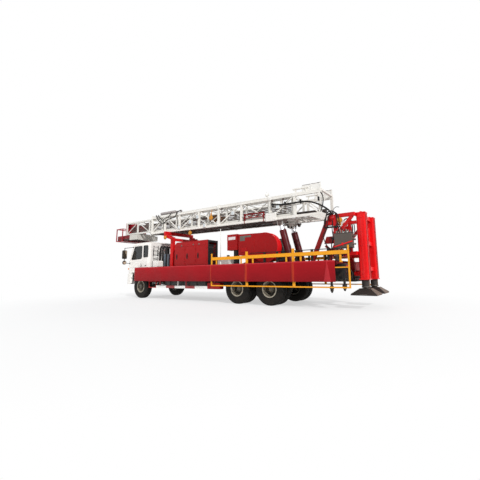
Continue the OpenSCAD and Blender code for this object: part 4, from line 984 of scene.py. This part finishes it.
def make_mast_lamps(white, glass):
    """Square work lamps along the outer section, and a round one on each side at its rear."""
    shells, glasses = Shape(on_mast), Shape(on_mast)
    centre = (2.48, PANEL_Y, 1.20)
    bowl = [(0, -0.05), (0.05, -0.05), (0.085, 0.03), (0.09, 0.045), (0.08, 0.05)]
    for _ in both_sides(shells, glasses):
        for u, w in ((6.02, 0.72), (6.48, 0.55), (7.2, 0.36), (4.05, 0.66), (2.0, 0.66), (5.6, 0.30)):
            shells.slab(u, 0.075, (LAMP_Y, LAMP_Y + 0.028), (w - 0.08, w + 0.08), 0.012)
            shells.bar((u, 0.60, w + 0.06), (u, 0.63, w + 0.14), 0.02)
            glasses.slab(u, 0.06, (LAMP_Y + 0.027, LAMP_Y + 0.034), (w - 0.065, w + 0.065), 0.004)
        shells.turned(bowl, centre, "X", 24)
        glasses.turned([(0.084, 0.046), (0.05, 0.058), (0, 0.062)], centre, "X", 24)
        shells.bar((2.46, PANEL_Y, 1.04), (2.46, PANEL_Y, 1.16), 0.03)
    shells.piece("lamp_shells", white, "mast_white", "mast")
    glasses.piece("lamp_glasses", glass, "window_glass", "mast")


def make_hanging_blocks(amber):
    """Two amber blocks with their hooks, hung on the left of the outer section."""
    blocks = Shape(on_mast)
    sheave = [(0, 0.03), (0.075, 0.03), (0.10, 0.018), (0.085, 0.006), (0.10, -0.006), (0.075, -0.02),
              (0, -0.02)]
    for u, y, w, hook in ((5.22, 0.650, 0.59, 0.38), (6.56, 0.55, 0.06, 0.16)):
        blocks.turned(sheave, (u, y, w), "Y", 28)
        blocks.slab(u, 0.03, (y - 0.026, y + 0.02), (w + 0.05, w + 0.20), 0.006)
        blocks.bar((u, y, w + 0.19), (u, y - 0.06, w + hook), 0.02)
    blocks.piece("hanging_blocks", amber, "block_amber", "mast")


def make_red_brace(red):
    """A short red lattice on the left of the outer section."""
    brace = Shape(on_mast)
    y, low, high = 0.635, 0.38, 0.53
    for w in (low, high):
        brace.bar((2.60, y, w), (3.52, y, w), 0.03)
    for k, u in enumerate(steps(2.62, 0.15, 6)):
        a, b = (high, low) if k % 2 else (low, high)
        brace.bar((u, y, a), (u + 0.15, y, b), 0.022)
    for u in (2.62, 3.50):
        brace.slab(u, 0.02, (0.55, 0.625), (0.19, 0.56), 0.003)
    brace.piece("red_brace", red, "dark_red", "mast")


def make_inner_section_trim(rope, gray):
    """The drilling line and a crossed panel on the inner section."""
    line, panel = Shape(on_mast), Shape(on_mast)
    for k, y in enumerate((-0.18, -0.06, 0.06, 0.18)):
        end = 0.085 + 0.1 * (k % 3)
        for w, last in ((0.85, 0.744), (0.42, 0.424)):
            points = [(11.32, y, w + 0.02), (8.4, (y + end) / 2, (w + 0.59) / 2), (5.25, end, last)]
            line.tube(points, 0.011, 6)
    line.piece("drilling_line", rope, "drum_steel", "mast_top")
    panel.box((9.62, 0.40, 0.44), (10.02, 0.425, 0.86), 0.01)
    for w0, w1 in ((0.40, 0.90), (0.90, 0.40)):
        panel.bar((9.50, 0.437, w0), (10.14, 0.437, w1), 0.03, 0.014)
    panel.piece("crown_panel", gray, "machine_gray", "mast_top")


def make_board_trim(dark, brown):
    """Lines, straps and boxes on the racking board."""
    under, boxes = Shape(on_board), Shape(on_board)
    for n, y in enumerate((-0.45, -0.2, 0.08, 0.33, 0.52)):
        run = [(0.15 + 0.09 * k, y + 0.02 * math.sin(k * 1.7 + n), 0.108 + 0.006 * math.sin(k * 2.3 + n))
               for k in range(9)]
        under.tube(curve(run, 4), 0.016, 8)
    for share in (0.12, 0.5, 0.86):
        under.box((share, -0.605, 0.092), (share + 0.02, 0.605, 0.104), 0.003)
    under.piece("board_lines", dark, "black_paint", "mast_top")
    for share, y, long in ((0.22, 0.575, 0.22), (0.55, 0.575, 0.3), (0.78, 0.575, 0.16), (0.3, -0.575, 0.3)):
        boxes.box((share, y - 0.028, 0.02), (share + long / (BOARD_U1 - BOARD_U0), y + 0.028, 0.20), 0.012)
    boxes.piece("board_boxes", brown, "dark_red", "mast_top")


# Front rest and the space behind the cab


def make_portal_trim(red, brass):
    """Plates, cleats and feet of the front rest, and the lamp on it."""
    shape, lantern = Shape(), Shape()
    for _ in both_sides(shape):
        shape.box((4.585, 0.869, 2.48), (4.715, 0.882, 2.745), 0.004)
        shape.bolts((4.61, 4.69), 0.882, (2.52, 2.62, 2.71))
        for x, z in ((4.72, 2.79), (4.92, 2.86), (5.12, 2.93)):
            shape.box((x, 0.77, z - 0.01), (x + 0.07, 0.83, z + 0.045), 0.008)
        shape.box((4.545, 0.715, DECK_Z - 0.001), (4.755, 0.885, DECK_Z + 0.02), 0.004)
        for x in (4.562, 4.738):
            shape.bolt((x, 0.878, DECK_Z + 0.02), (0, 0, 1), high=0.010)
    shape.piece("portal_fittings", red, "bright_red")
    bowl = [(0, 0.05), (0.06, 0.045), (0.085, 0.02), (0.085, -0.01), (0.05, -0.04), (0, -0.045)]
    lantern.turned(bowl, (5.06, 0.91, 2.77), "Y", 28)
    lantern.bar((5.06, 0.865, 2.86), (5.06, 0.90, 2.80), 0.03)
    lantern.piece("portal_lamp", brass, "block_amber")


def make_cab_rear(black, blue_gray):
    """A ladder and hoses at the cab's rear wall, and two filters."""
    rear, cans = Shape(), Shape()
    for y in (0.86, 1.10):
        rear.tube([(5.61, y, DECK_Z - 0.001), (5.61, y, 2.42)], 0.014, 8)
    for z in steps(1.60, 0.19, 5):
        rear.tube([(5.61, 0.86, z), (5.61, 1.10, z)], 0.010, 8)
    rear.bar((5.53, 0.79, 2.28), (5.61, 0.87, 2.28), 0.03, 0.02)
    for y, radius in ((0.74, 0.022), (0.58, 0.028), (0.42, 0.020)):
        points = [(5.40, y, 2.34), (5.50, y + 0.01, 2.41), (5.58, y + 0.02, 2.30), (5.60, y, 1.95),
                  (5.60, y - 0.02, 1.60), (5.60, y, DECK_Z + 0.005)]
        rear.tube(curve(points, 6), radius, 10)
    rear.piece("cab_rear_lines", black, "black_paint")
    for y, top, r in ((-0.20, 2.10, 0.10), (0.16, 1.95, 0.085)):
        can = [(0, DECK_Z), (r * 0.7, DECK_Z), (r, DECK_Z + 0.04), (r, top - 0.03), (r * 0.8, top),
               (0.03, top + 0.02), (0.03, top + 0.06), (0, top + 0.06)]
        cans.turned(can, (5.52, y, 0), "Z", 24)
        for z in (DECK_Z + 0.12, top - 0.12):
            cans.ring((5.52, y, z), r + 0.002, 0.008, "Z")
    cans.piece("filters", blue_gray, "machine_gray")


# Rear end: A-frame, columns, jack legs and console


def make_pivot_covers(red):
    """Bolts and pivot covers on the A-frame's plates, and its feet."""
    shape = Shape()
    cover = [(0, 0.045), (0.05, 0.045), (0.06, 0.02), (0.10, 0.02), (0.105, 0)]
    for _ in both_sides(shape):
        shape.bolts((-2.86, -2.72, -2.58), 0.78, [2.00])
        shape.bolts((-2.86, -2.70), 0.78, [2.14])
        shape.turned(cover, (PIVOT.x - TANDEM, 0.809, PIVOT.z), "Y", 32)
        shape.bolt_circle((-2.75, 0.829, 2.75), 0.08, 8, 0, (0, 1, 0), 0.007, 0.007)
        for x in (-2.105, -1.955):
            shape.slab(x, 0.03, (0.67, 0.84), (DECK_Z - 0.001, DECK_Z + 0.02), 0.004)
    shape.piece("pivot_covers", red, "rig_red")


def make_pivot_hoses(black):
    """Hoses that pass the pivot with their clamps, three of them on the left only."""
    hoses = Shape()
    paired = [
        (0.83, 0.020, [(-2.57, 2.56), (-2.60, 2.78), (-2.66, 2.94), (-2.78, 2.98), (-2.90, 2.88),
                       (-2.95, 2.62), (-2.90, 2.40)]),
        (0.86, 0.016, [(-2.62, 2.40), (-2.66, 2.66), (-2.74, 2.86), (-2.88, 2.92), (-3.00, 2.76),
                       (-3.00, 2.42), (-2.92, 2.16)]),
        (0.84, 0.018, [(-2.80, 2.32), (-2.80, 2.10), (-2.74, 1.90), (-2.76, 1.66), (-2.84, 1.44)])]
    left_only = [
        (0.84, 0.014, [(-2.52, 2.48), (-2.56, 2.70), (-2.64, 2.86), (-2.74, 2.90), (-2.80, 2.62),
                       (-2.78, 2.40), (-2.82, 2.05)]),
        (0.83, 0.013, [(-2.96, 2.56), (-3.08, 2.36), (-3.16, 2.26), (-3.20, 2.21)]),
        (0.85, 0.014, [(-2.56, 2.36), (-2.50, 2.18), (-2.56, 1.96), (-2.66, 1.76), (-2.72, 1.44)])]
    for side in both_sides(hoses):
        for y, radius, points in paired + (left_only if side > 0 else []):
            line = [(x, y + 0.02 * math.sin(i * 1.3), z) for i, (x, z) in enumerate(points)]
            hoses.tube(curve(line, 6), radius, 8)
        hoses.box((-2.97, 0.806, 2.44), (-2.54, 0.850, 2.49), 0.006)
        hoses.box((-2.93, 0.80, 2.10), (-2.72, 0.835, 2.14), 0.005)
        hoses.box((-2.86, 0.806, 2.86), (-2.62, 0.85, 2.90), 0.008)
        line = [(-2.80, 0.80, 2.88), (-2.84, 0.80, 3.02), (-2.93, 0.80, 3.09), (-3.02, 0.80, 3.07)]
        hoses.tube(curve(line, 5), 0.009, 6)
    hoses.piece("pivot_hoses", black, "black_paint")


def make_gauge(brass):
    """The brass gauge behind the left pivot."""
    gauge = Shape()
    case = [(0, 0.045), (0.07, 0.045), (0.085, 0.03), (0.085, 0), (0.05, -0.02)]
    gauge.turned(case, (-3.02, 0.80, 2.66), "Y", 32)
    gauge.tube([(-3.02, 0.79, 2.73), (-3.02, 0.77, 2.77)], 0.02, 10)
    gauge.box((-3.045, 0.775, 2.50), (-2.995, 0.82, 2.60), 0.008)
    gauge.piece("brass_gauge", brass, "block_amber")


def make_column_trim(red, dark_red, steel):
    """Flanges, lugs, weld strips, bolts and ribs of the rear columns."""
    shape, bolts, ribs = Shape(), Shape(), Shape()
    half = JACK_SIDE / 2
    face, rear = JACK_Y + half, JACK_X - half
    lug = [(-0.045, -0.001), (0.045, -0.001), (0.045, 0.012), (0.02, 0.034), (-0.02, 0.034), (-0.045, 0.012)]
    for _ in both_sides(shape, bolts, ribs):
        for z0, z1, grow in ((JACK_Z0, JACK_Z0 + 0.03, 0.012), (JACK_Z1 - 0.03, JACK_Z1 - 0.001, 0.008)):
            reach = half + grow / 2
            corners = [(JACK_X + i * reach, JACK_Y + j * reach, (z0 + z1) / 2) for i, j in CORNERS]
            for a, b in zip(corners, corners[1:] + corners[:1]):
                shape.bar(a, b, grow * 1.4, z1 - z0)
        shape.slab(JACK_X, 0.025, (face - 0.001, face + 0.008), (0.90, 2.80), 0.002)
        for z in steps(1.0, 0.42, 5):
            shape.slab(JACK_X, 0.04, (face - 0.001, face + 0.016), (z, z + 0.035), 0.003)
        for y in (JACK_Y - 0.07, JACK_Y + 0.05):
            shape.skin([[(JACK_X + x, y + wide, JACK_Z1 + z) for x, z in lug] for wide in (0, 0.02)])
        for y, z in product((JACK_Y - 0.08, JACK_Y + 0.08), (1.52, 1.60, 2.72, 2.80)):
            bolts.bolt((rear, y, z), (-1, 0, 0), 0.012, 0.010)
        bolts.bolt_circle((JACK_X, JACK_Y, JACK_Z0), 0.122, 6, 0.5, (0, 0, -1), 0.009, 0.009)
        for y in (JACK_Y - 0.075, JACK_Y + 0.075):
            ribs.box((rear - 0.010, y - 0.010, 0.88), (rear + 0.001, y + 0.010, 2.80), 0.002)
    shape.piece("column_flanges", red, "bright_red")
    bolts.piece("column_bolts", steel, "machine_gray")
    ribs.piece("column_ribs", dark_red, "dark_red")


def make_pad_trim(steel):
    """Ribs, handle, collar and bolts of each foot pad."""
    x, y = JACK_X, JACK_Y
    for side, hand in SIDES:
        pad = Shape(at, side)
        for i, j in CORNERS:
            pad.bar((x + i * 0.355, y + j * 0.355, 0.434), (x + i * 0.14, y + j * 0.14, 0.592), 0.014)
        handle = [(x - 0.08, y + 0.355, 0.415), (x - 0.08, y + 0.395, 0.43),
                  (x + 0.08, y + 0.395, 0.43), (x + 0.08, y + 0.355, 0.415)]
        pad.tube(curve(handle, 5), 0.009, 8)
        pad.turned([(0.096, 0), (0.122, -0.004), (0.124, -0.03), (0.10, -0.036)], (x, y, 0.652), "Z", 28)
        pad.bolt_circle((x, y, 0.616), 0.11, 6, 0, (0, 0, -1), 0.008, 0.008)
        pad.piece(f"pad_ribs_{hand}", steel, "jack_steel", f"jack_{hand}")


def make_console_trim(silver, red, black, dial):
    """Levers, knobs, bar, edges, lines and dials of the driller's console."""
    top, bar, edge, faces = Shape(), Shape(), Shape(), Shape()
    for i, x in enumerate(steps(-3.42, 0.058, 8)):
        tall = 0.05 + 0.03 * (i * 7 % 3)
        lever = [(0, tall), (0.014, tall), (0.022, tall - 0.012), (0.018, 0.012), (0.026, 0.006), (0.028, 0)]
        top.turned(lever, (x, 1.17, 2.20), "Z", 14)
    knob = [(0, 0.03), (0.024, 0.02), (0.028, 0), (0.02, -0.02), (0, -0.026)]
    for z in (1.84, 1.97, 2.08):
        top.tube([(-3.45, 1.14, z), (-3.53, 1.16, z + 0.02)], 0.012, 8)
        top.turned(knob, (-3.535, 1.16, z + 0.02), "X", 14)
    top.bolts((-3.42, -3.00), 1.23, (1.80, 2.16), high=0.007)
    top.piece("console_fittings", silver, "rod_chrome")
    bar.bar((-2.95, 1.243, 1.80), (-3.48, 1.243, 1.94), 0.028, 0.03)
    bar.box((-3.22, 1.228, 1.83), (-3.17, 1.25, 1.91), 0.004)
    bar.piece("console_bar", red, "bright_red")
    for z in (1.765, 2.185):
        edge.box((-3.462, 0.998, z - 0.006), (-2.958, 1.2315, z + 0.006), 0.002)
    for i in range(4):
        points = [(-3.05 - 0.1 * i, 1.02 + 0.03 * i, 1.77), (-3.04 - 0.1 * i, 1.04, 1.64),
                  (-2.98 - 0.03 * i, 1.06, 1.52), (-2.95 - 0.01 * i, 1.08, 1.41)]
        edge.tube(curve(points, 5), 0.012, 8)
    edge.piece("console_lines", black, "black_paint")
    for x, z, r in ((-3.34, 2.06, 0.045), (-3.20, 2.06, 0.045), (-3.07, 2.05, 0.035)):
        profile = [(0, -0.002), (r - 0.008, -0.002), (r - 0.006, -0.009), (r, -0.009), (r, 0.001)]
        faces.turned(profile, (x, 1.0, z), "Y", 24)
    faces.piece("console_dials", dial, "cab_white")


# Rails, deck and what hangs under it


def make_rail_trim(black, amber):
    """The black hand rail on its stands, and the bolted joints of the guard rails."""
    rail, joints = Shape(), Shape()
    ends = POSTS + [RAIL_END]
    for _ in both_sides(rail, joints):
        rail.tube([(0.02, 1.297, 1.765), (-1.6, 1.297, 1.760), (-3.28, 1.297, 1.752)], 0.013, 8)
        for x in (-0.57, -1.06, -1.74, -2.27, -2.78):
            rail.slab(x, 0.035, (1.262, 1.313), (1.34, 1.775), 0.006)
            rail.slab(x, 0.05, (1.248, 1.275), (1.31, 1.39), 0.004)
        for x in ends:
            joints.slab(x, 0.026, (1.337, 1.383), (1.812, 1.828), 0.004)
        joints.bolts(ends, 1.38, (1.60, 1.67), 0.008, 0.008)
        for x0, x1 in zip(ends[1::2], ends[::2]):
            joints.bolts([x0 + (x1 - x0) * (k + 0.5) / 4 for k in range(4)], 1.38, [1.635], 0.007, 0.006)
    rail.piece("black_handrail", black, "black_paint")
    joints.piece("rail_joints", amber, "rail_yellow")


def make_side_trim(red, white, black):
    """Step box and frame at the ends of the side guard, its middle post, treads and the tank's straps."""
    shape, post, treads = Shape(), Shape(), Shape()
    for _ in both_sides(shape, post, treads):
        shape.box((1.465, 1.0, 0.499), (2.09, 1.234, 0.74), 0.010)
        shape.box((1.48, 1.232, 0.63), (2.08, 1.2365, 0.642), 0.001)
        shape.bolts((1.52, 2.04), 1.234, (0.54, 0.70))
        for z in (0.51, 0.78):
            shape.bar((5.185, 1.21, z), (5.72, 1.21, z), 0.04, 0.03)
            shape.bar((5.20, 1.02, z), (5.70, 1.02, z), 0.03)
            for x in (5.205, 5.70):
                shape.bar((x, 1.21, z), (x, 1.0, z), 0.03)
        for x, z0, z1 in ((5.205, 0.50, 0.80), (5.70, 0.50, 0.80), (5.205, 0.79, 1.33)):
            shape.bar((x, 1.21, z0), (x, 1.21, z1), 0.03)
        post.box((3.75, 1.195, 0.609), (3.80, 1.228, 1.29), 0.004)
        for y in steps(1.035, 0.031, 6):
            treads.box((5.21, y - 0.006, 0.515), (5.70, y + 0.006, 0.53), 0.002)
        for x in (2.75, 3.55, 4.35):
            treads.slab(x, 0.03, (1.10, 1.128), (0.555, 1.135), 0.004)
            treads.slab(x, 0.03, (0.60, 1.127), (1.124, 1.142), 0.004)
    shape.piece("side_steps", red, "rig_red")
    post.piece("guard_post", white, "cab_white")
    treads.piece("step_treads", black, "black_paint")


def make_under_deck(black, lens_red, white):
    """Rear boxes with their lines, two hooks on the left, the tail lamps, and a white rod on the deck."""
    shape, lamps, pole = Shape(), Shape(), Shape()
    for _ in both_sides(shape, lamps):
        shape.box((-3.20, 0.74, 0.86), (-2.72, 1.18, 1.32), 0.02)
        for k in range(3):
            y = 0.80 + 0.05 * k
            points = [(-3.18, y, 1.02 - 0.05 * k), (-3.28, y, 0.92 - 0.04 * k),
                      (-3.32, 0.84 + 0.03 * k, 1.04), (-3.26, 0.90, 1.16), (-3.18, 0.92, 1.20)]
            shape.tube(curve(points, 6), 0.013, 8)
        for y in (0.80, 0.90, 1.00):
            lamps.box((-3.212, y - 0.042, 1.20), (-3.198, y + 0.042, 1.28), 0.006)
    hook = [(0, 0), (0.02, 0), (0.05, 0.07), (0.05, 0.11), (0.065, 0.12), (0.065, 0.17), (0.03, 0.22),
            (0, 0.22)]
    for x, z in ((-2.77, 0.47), (-3.15, 0.53)):
        shape.slab(x, 0.03, (1.07, 1.13), (z + 0.20, 0.90), 0.006)
        shape.turned(hook, (x, 1.10, z), "Z", 18)
    shape.piece("under_deck_boxes", black, "chassis_black")
    lamps.piece("tail_lamps", lens_red, "rig_red")
    pole.tube([(1.95, 0.62, DECK_Z - 0.001), (1.95, 0.62, 1.55)], 0.03, 16)
    pole.tube([(1.95, 0.62, 1.54), (1.95, 0.62, 2.90)], 0.014, 10)
    pole.piece("white_rod", white, "cab_white")


def make_deck_trim(red, silver, black):
    """Bolts along the deck's edge, and the right side's valves, caps and lines."""
    bolts, valves, tank, lines = (Shape(on_deck) for _ in range(4))
    for _ in both_sides(bolts):
        for x in steps(-2.9, 0.42, 21):
            bolts.bolt((x, DECK_Y - 0.03, 0), (0, 0, 1), high=0.008)
    bolts.piece("deck_bolts", silver, "machine_gray")
    valves.box((0.70, -1.15, -0.001), (1.75, -0.75, 0.10), 0.01)
    valves.box((0.78, -1.12, 0.09), (1.66, -0.80, 0.46), 0.025)
    knob = [(0, 0.025), (0.02, 0.015), (0.022, -0.012), (0, -0.02)]
    for x in steps(0.86, 0.12, 7):
        valves.tube([(x, -0.96, 0.45), (x + 0.02, -1.02, 0.66)], 0.010, 8)
        valves.turned(knob, (x + 0.02, -1.022, 0.67), "Z", 14)
    valves.piece("valve_bank", red, "cabinet_red")
    for x, r in ((2.7, 0.07), (3.9, 0.05)):
        cap = [(0, 0.09), (r - 0.02, 0.09), (r, 0.07), (r, 0.02), (r + 0.015, 0.02), (r + 0.02, 0)]
        tank.turned(cap, (x, -0.80, 0.43), "Z", 24)
    tank.tube([(3.6, -1.145, 0.08), (3.6, -1.165, 0.10), (3.6, -1.165, 0.34), (3.6, -1.145, 0.36)], 0.011, 8)
    tank.piece("oil_tank_fittings", silver, "rod_chrome")
    for k in range(4):
        y = -0.88 - 0.05 * k
        points = [(0.80, y, 0.20 + 0.03 * k), (0.55, y, 0.10), (0.1, y - 0.02, 0.02),
                  (-0.9, y, 0.013), (-1.9, y, 0.013), (-2.5, y + 0.03, 0.013)]
        lines.tube(curve(points, 8), 0.014, 8)
        lines.tube(curve([(1.62, y, 0.22), (1.9, y, 0.12), (2.2, y, 0.09), (2.42, y, 0.14)], 6), 0.014, 8)
    lines.piece("deck_lines", black, "black_paint")


# Finishes of the CAD nodes


def paint_nodes():
    """Gives every CAD node its finish."""
    guard_low = WINCH_Z - GUARD_R + 0.02
    finishes = {
        "chassis": painted("chassis black", BLACK, rough=0.5, dust=0.5),
        "subframe": painted("subframe red", DARK_RED, rough=0.45, dust=0.4),
        "axle_front": painted("axle black", BLACK, rough=0.55, dust=0.7),
        "driveline": painted("machine gray", (84, 84, 84), rough=0.5, dust=0.5),
        "cab": painted("cab white", WHITE, rough=0.28, dust=0.12, fade=0.02, areas=[
            ((120, 116, 110), {"x": (CAB_X0 + 0.04, 7.36), "y": (-1.16, 1.16), "z": (1.24, 2.59)})]),
        "cab_glass": glazing("window glass", (62, 70, 74)),
        "cab_interior": painted("cab trim", (72, 68, 66), rough=0.75, dust=0.1),
        "bumper": painted("bumper white", WHITE, rough=0.3, dust=0.3, fade=0.02, areas=[
            (BLACK, {"x": (CAB_X1 + 0.009, CAB_X1 + 0.045), "y": (-0.561, 0.561), "z": (0.70, 1.0)}),
            (BLACK, {"x": (7.2, CAB_X1 + 0.001), "y": (-0.44, 0.44), "z": (0.79, 1.0)})]),
        "mirrors": painted("mirror black", (30, 29, 30), rough=0.42, dust=0.1),
        "mudguards": rubber("mudguard rubber", (30, 29, 28), 0.6),
        "deck": painted("deck black", (44, 40, 38), rough=0.6, dust=0.8),
        "air_tank": painted("tank white", WHITE, rough=0.3, dust=0.15, fade=0.02),
        "intake_stand": painted("stand black", (34, 32, 33), rough=0.45, dust=0.3, areas=[
            ((104, 112, 122), {"x": (5.12, 5.48), "y": (0.38, 0.73), "z": (1.42, 2.03)})]),
        # Painted shade: the rear face and the faces just inside the rear end are painted black, for the open
        # grille there lying in shade.
        "cabinet": painted("cabinet enamel", (160, 14, 18), rough=0.34, areas=[
            (BLACK, {"x": (CABINET_X0 - 0.01, CABINET_X0 + 0.0008)}),
            (BLACK, {"x": (CABINET_X0 - 0.01, CABINET_X0 + 0.21), "y": (0.469, 0.931), "z": (1.49, 2.371)})]),
        "power_unit": painted("engine gray", (60, 60, 62), rough=0.5, dust=0.4),
        "drawworks": painted("drawworks red", (152, 10, 13), rough=0.32, areas=[
            (BLACK, {"x": (0.88, 1.09), "z": (1.40, WINCH_Z - 0.021)}),
            (BLACK, {"x": (-0.54, 0.18), "z": (1.40, guard_low)})]),
        "front_rest": painted("red enamel", (200, 18, 22)),
        # Painted shade: the legs are a darker red than the posts.
        "a_frame": painted("frame red", (196, 16, 18), areas=[
            ((136, 18, 18), {"x": (-2.80, -1.9), "z": (1.41, 2.55)})]),
        # Painted highlight: the columns are a lighter red than the rig's other red parts, for the sun on
        # them.
        "rear_columns": painted("column red", (226, 16, 20), rough=0.3),
        "guard_rails": painted("rail amber", AMBER, rough=0.38, dust=0.2),
        "console": painted("console gray", (88, 80, 74), rough=0.45, dust=0.3),
        "side_gear": striped("side guard"),
        # Painted shade: the underside of the outer section is painted a dark brown gray.
        "mast_outer": painted("mast white", (232, 228, 220), dust=0.2, fade=0.03, areas=[
            ((104, 92, 86), {"x": (-0.6, 7.0), "y": (-0.5, 0.5), "z": (2.5, 3.16)})]),
        "mast_inner": painted("inner white", (216, 213, 206), rough=0.38, dust=0.3, fade=0.04),
        "crown": painted("crown red", (150, 24, 36), rough=0.4),
        "travelling_block": painted("block amber", (228, 146, 30), rough=0.4, dust=0.3),
        # Painted shade: the board's front is near black along its lower edge.
        "racking_board": painted("board red", (112, 16, 24), rough=0.45, dust=0.3, areas=[
            ((196, 192, 184), {"x": (7.5, 8.32)}), ((58, 26, 26), {"x": (8.32, 9.6), "z": (2.8, 3.03)})]),
        "extend_barrel": painted("cylinder black", (52, 44, 42), rough=0.38, dust=0.3),
        "extend_rod": bare_metal("chrome rod", (200, 200, 204), 0.12, 1.0, 0.1),
        "ram_barrels": painted("maroon enamel", (84, 15, 22), rough=0.34),
        "jack_left": pad_steel("jack steel"),
        "drum": bare_metal("drum steel", (96, 94, 92), 0.45, 0.7, 0.5),
        "rim_front_left": wheel_paint("rim lacquer"),
    }
    shared = {
        "axle_front": "axles_rear knuckle_left knuckle_right",
        "extend_rod": "ram_sleeves ram_rods",
        "jack_left": "jack_right",
        "cab": "cab_door_left cab_door_right",
        "cab_glass": "door_glass_left door_glass_right",
        "cabinet": "cabinet_door_1 cabinet_door_2 cabinet_door_3",
        "rim_front_left": "rim_front_right rim_rear_1_left rim_rear_1_right rim_rear_2_left rim_rear_2_right",
    }
    for source, nodes in shared.items():
        finishes.update({node: finishes[source] for node in nodes.split()})
    for node, material in finishes.items():
        mesh = frame["nodes"][node].data
        mesh.materials.clear()
        mesh.materials.append(material)


set_camera()
set_light()
set_floor()
paint_nodes()
make_tyres(rubber("tyre rubber"))
make_cloth(cloth_finish("banner cloth"))

TRIM_BLACK = painted("trim black", (28, 27, 28), rough=0.45, dust=0.3)
HOSE_BLACK = rubber("hose rubber", (30, 28, 28), 0.6)
DULL_STEEL = bare_metal("dull steel", (104, 98, 92), 0.5, 0.7, 0.5)
MIRROR = bare_metal("mirror silver", (190, 170, 150), 0.06, 1.0, 0.1)
BRASS = painted("lamp amber", (196, 132, 44), rough=0.35, dust=0.3)
TRIM_RED = painted("trim red", (166, 12, 16), rough=0.34)
# A lighter red, a painted highlight on the drawworks guard's rim and on the columns' flanges.
BRIGHT_RED = painted("bright red", (226, 28, 32), rough=0.3)
DEEP_RED = painted("dark red", (126, 24, 28), rough=0.42, dust=0.3)
TRIM_WHITE = painted("trim white", (234, 231, 225), rough=0.34, dust=0.15, fade=0.02)
# Painted shade: the pipes under the outer section are a dark brown gray.
PIPE_WHITE = painted("pipe white", (226, 223, 216), rough=0.4, dust=0.2, areas=[
    ((92, 80, 76), {"x": (-0.6, 7.0), "z": (2.5, 3.3)})])
CLEAR_LENS = lens("clear lens", (214, 220, 222))
WORN_GRAY = painted("worn gray", (96, 84, 80), rough=0.5, dust=0.4)

make_wheel_trim(DULL_STEEL)
make_cab_doors(TRIM_BLACK)
make_window_seals(TRIM_BLACK)
make_wipers_and_steps(TRIM_BLACK)
make_cab_lamps(CLEAR_LENS, lens("amber lens", (224, 130, 30)), MIRROR)
make_cabinet_trim(TRIM_BLACK, DULL_STEEL, TRIM_RED)
make_guard_trim(TRIM_RED, BRIGHT_RED)
make_gearbox_trim(painted("plate white", (224, 212, 212), rough=0.4), DULL_STEEL)
make_mast_hoses(HOSE_BLACK)
make_mast_pipes(PIPE_WHITE, WORN_GRAY)
make_belly_shade_sheet(painted("belly brown", (66, 50, 47), rough=0.5, dust=0.4))
make_top_cylinder(painted("cylinder gray", (158, 150, 148), rough=0.4, dust=0.2))
make_mast_plates(TRIM_WHITE)
make_mast_dark_parts(WORN_GRAY)
make_mast_lamps(TRIM_WHITE, CLEAR_LENS)
make_hanging_blocks(BRASS)
make_red_brace(DEEP_RED)
make_inner_section_trim(DULL_STEEL, WORN_GRAY)
make_board_trim(HOSE_BLACK, DEEP_RED)
make_portal_trim(TRIM_RED, BRASS)
make_cab_rear(HOSE_BLACK, painted("filter gray", (110, 118, 128), rough=0.45, dust=0.3))
make_pivot_covers(TRIM_RED)
make_pivot_hoses(HOSE_BLACK)
make_gauge(BRASS)
make_column_trim(BRIGHT_RED, DEEP_RED, DULL_STEEL)
make_pad_trim(DULL_STEEL)
make_console_trim(DULL_STEEL, BRIGHT_RED, HOSE_BLACK, painted("dial white", (224, 222, 216), rough=0.3))
make_rail_trim(TRIM_BLACK, painted("joint amber", AMBER, rough=0.38, dust=0.2))
make_side_trim(TRIM_RED, TRIM_WHITE, TRIM_BLACK)
make_under_deck(TRIM_BLACK, lens("red lens", (176, 20, 24)), TRIM_WHITE)
make_deck_trim(TRIM_RED, DULL_STEEL, HOSE_BLACK)

bpy.context.scene.view_settings.view_transform = "Standard"
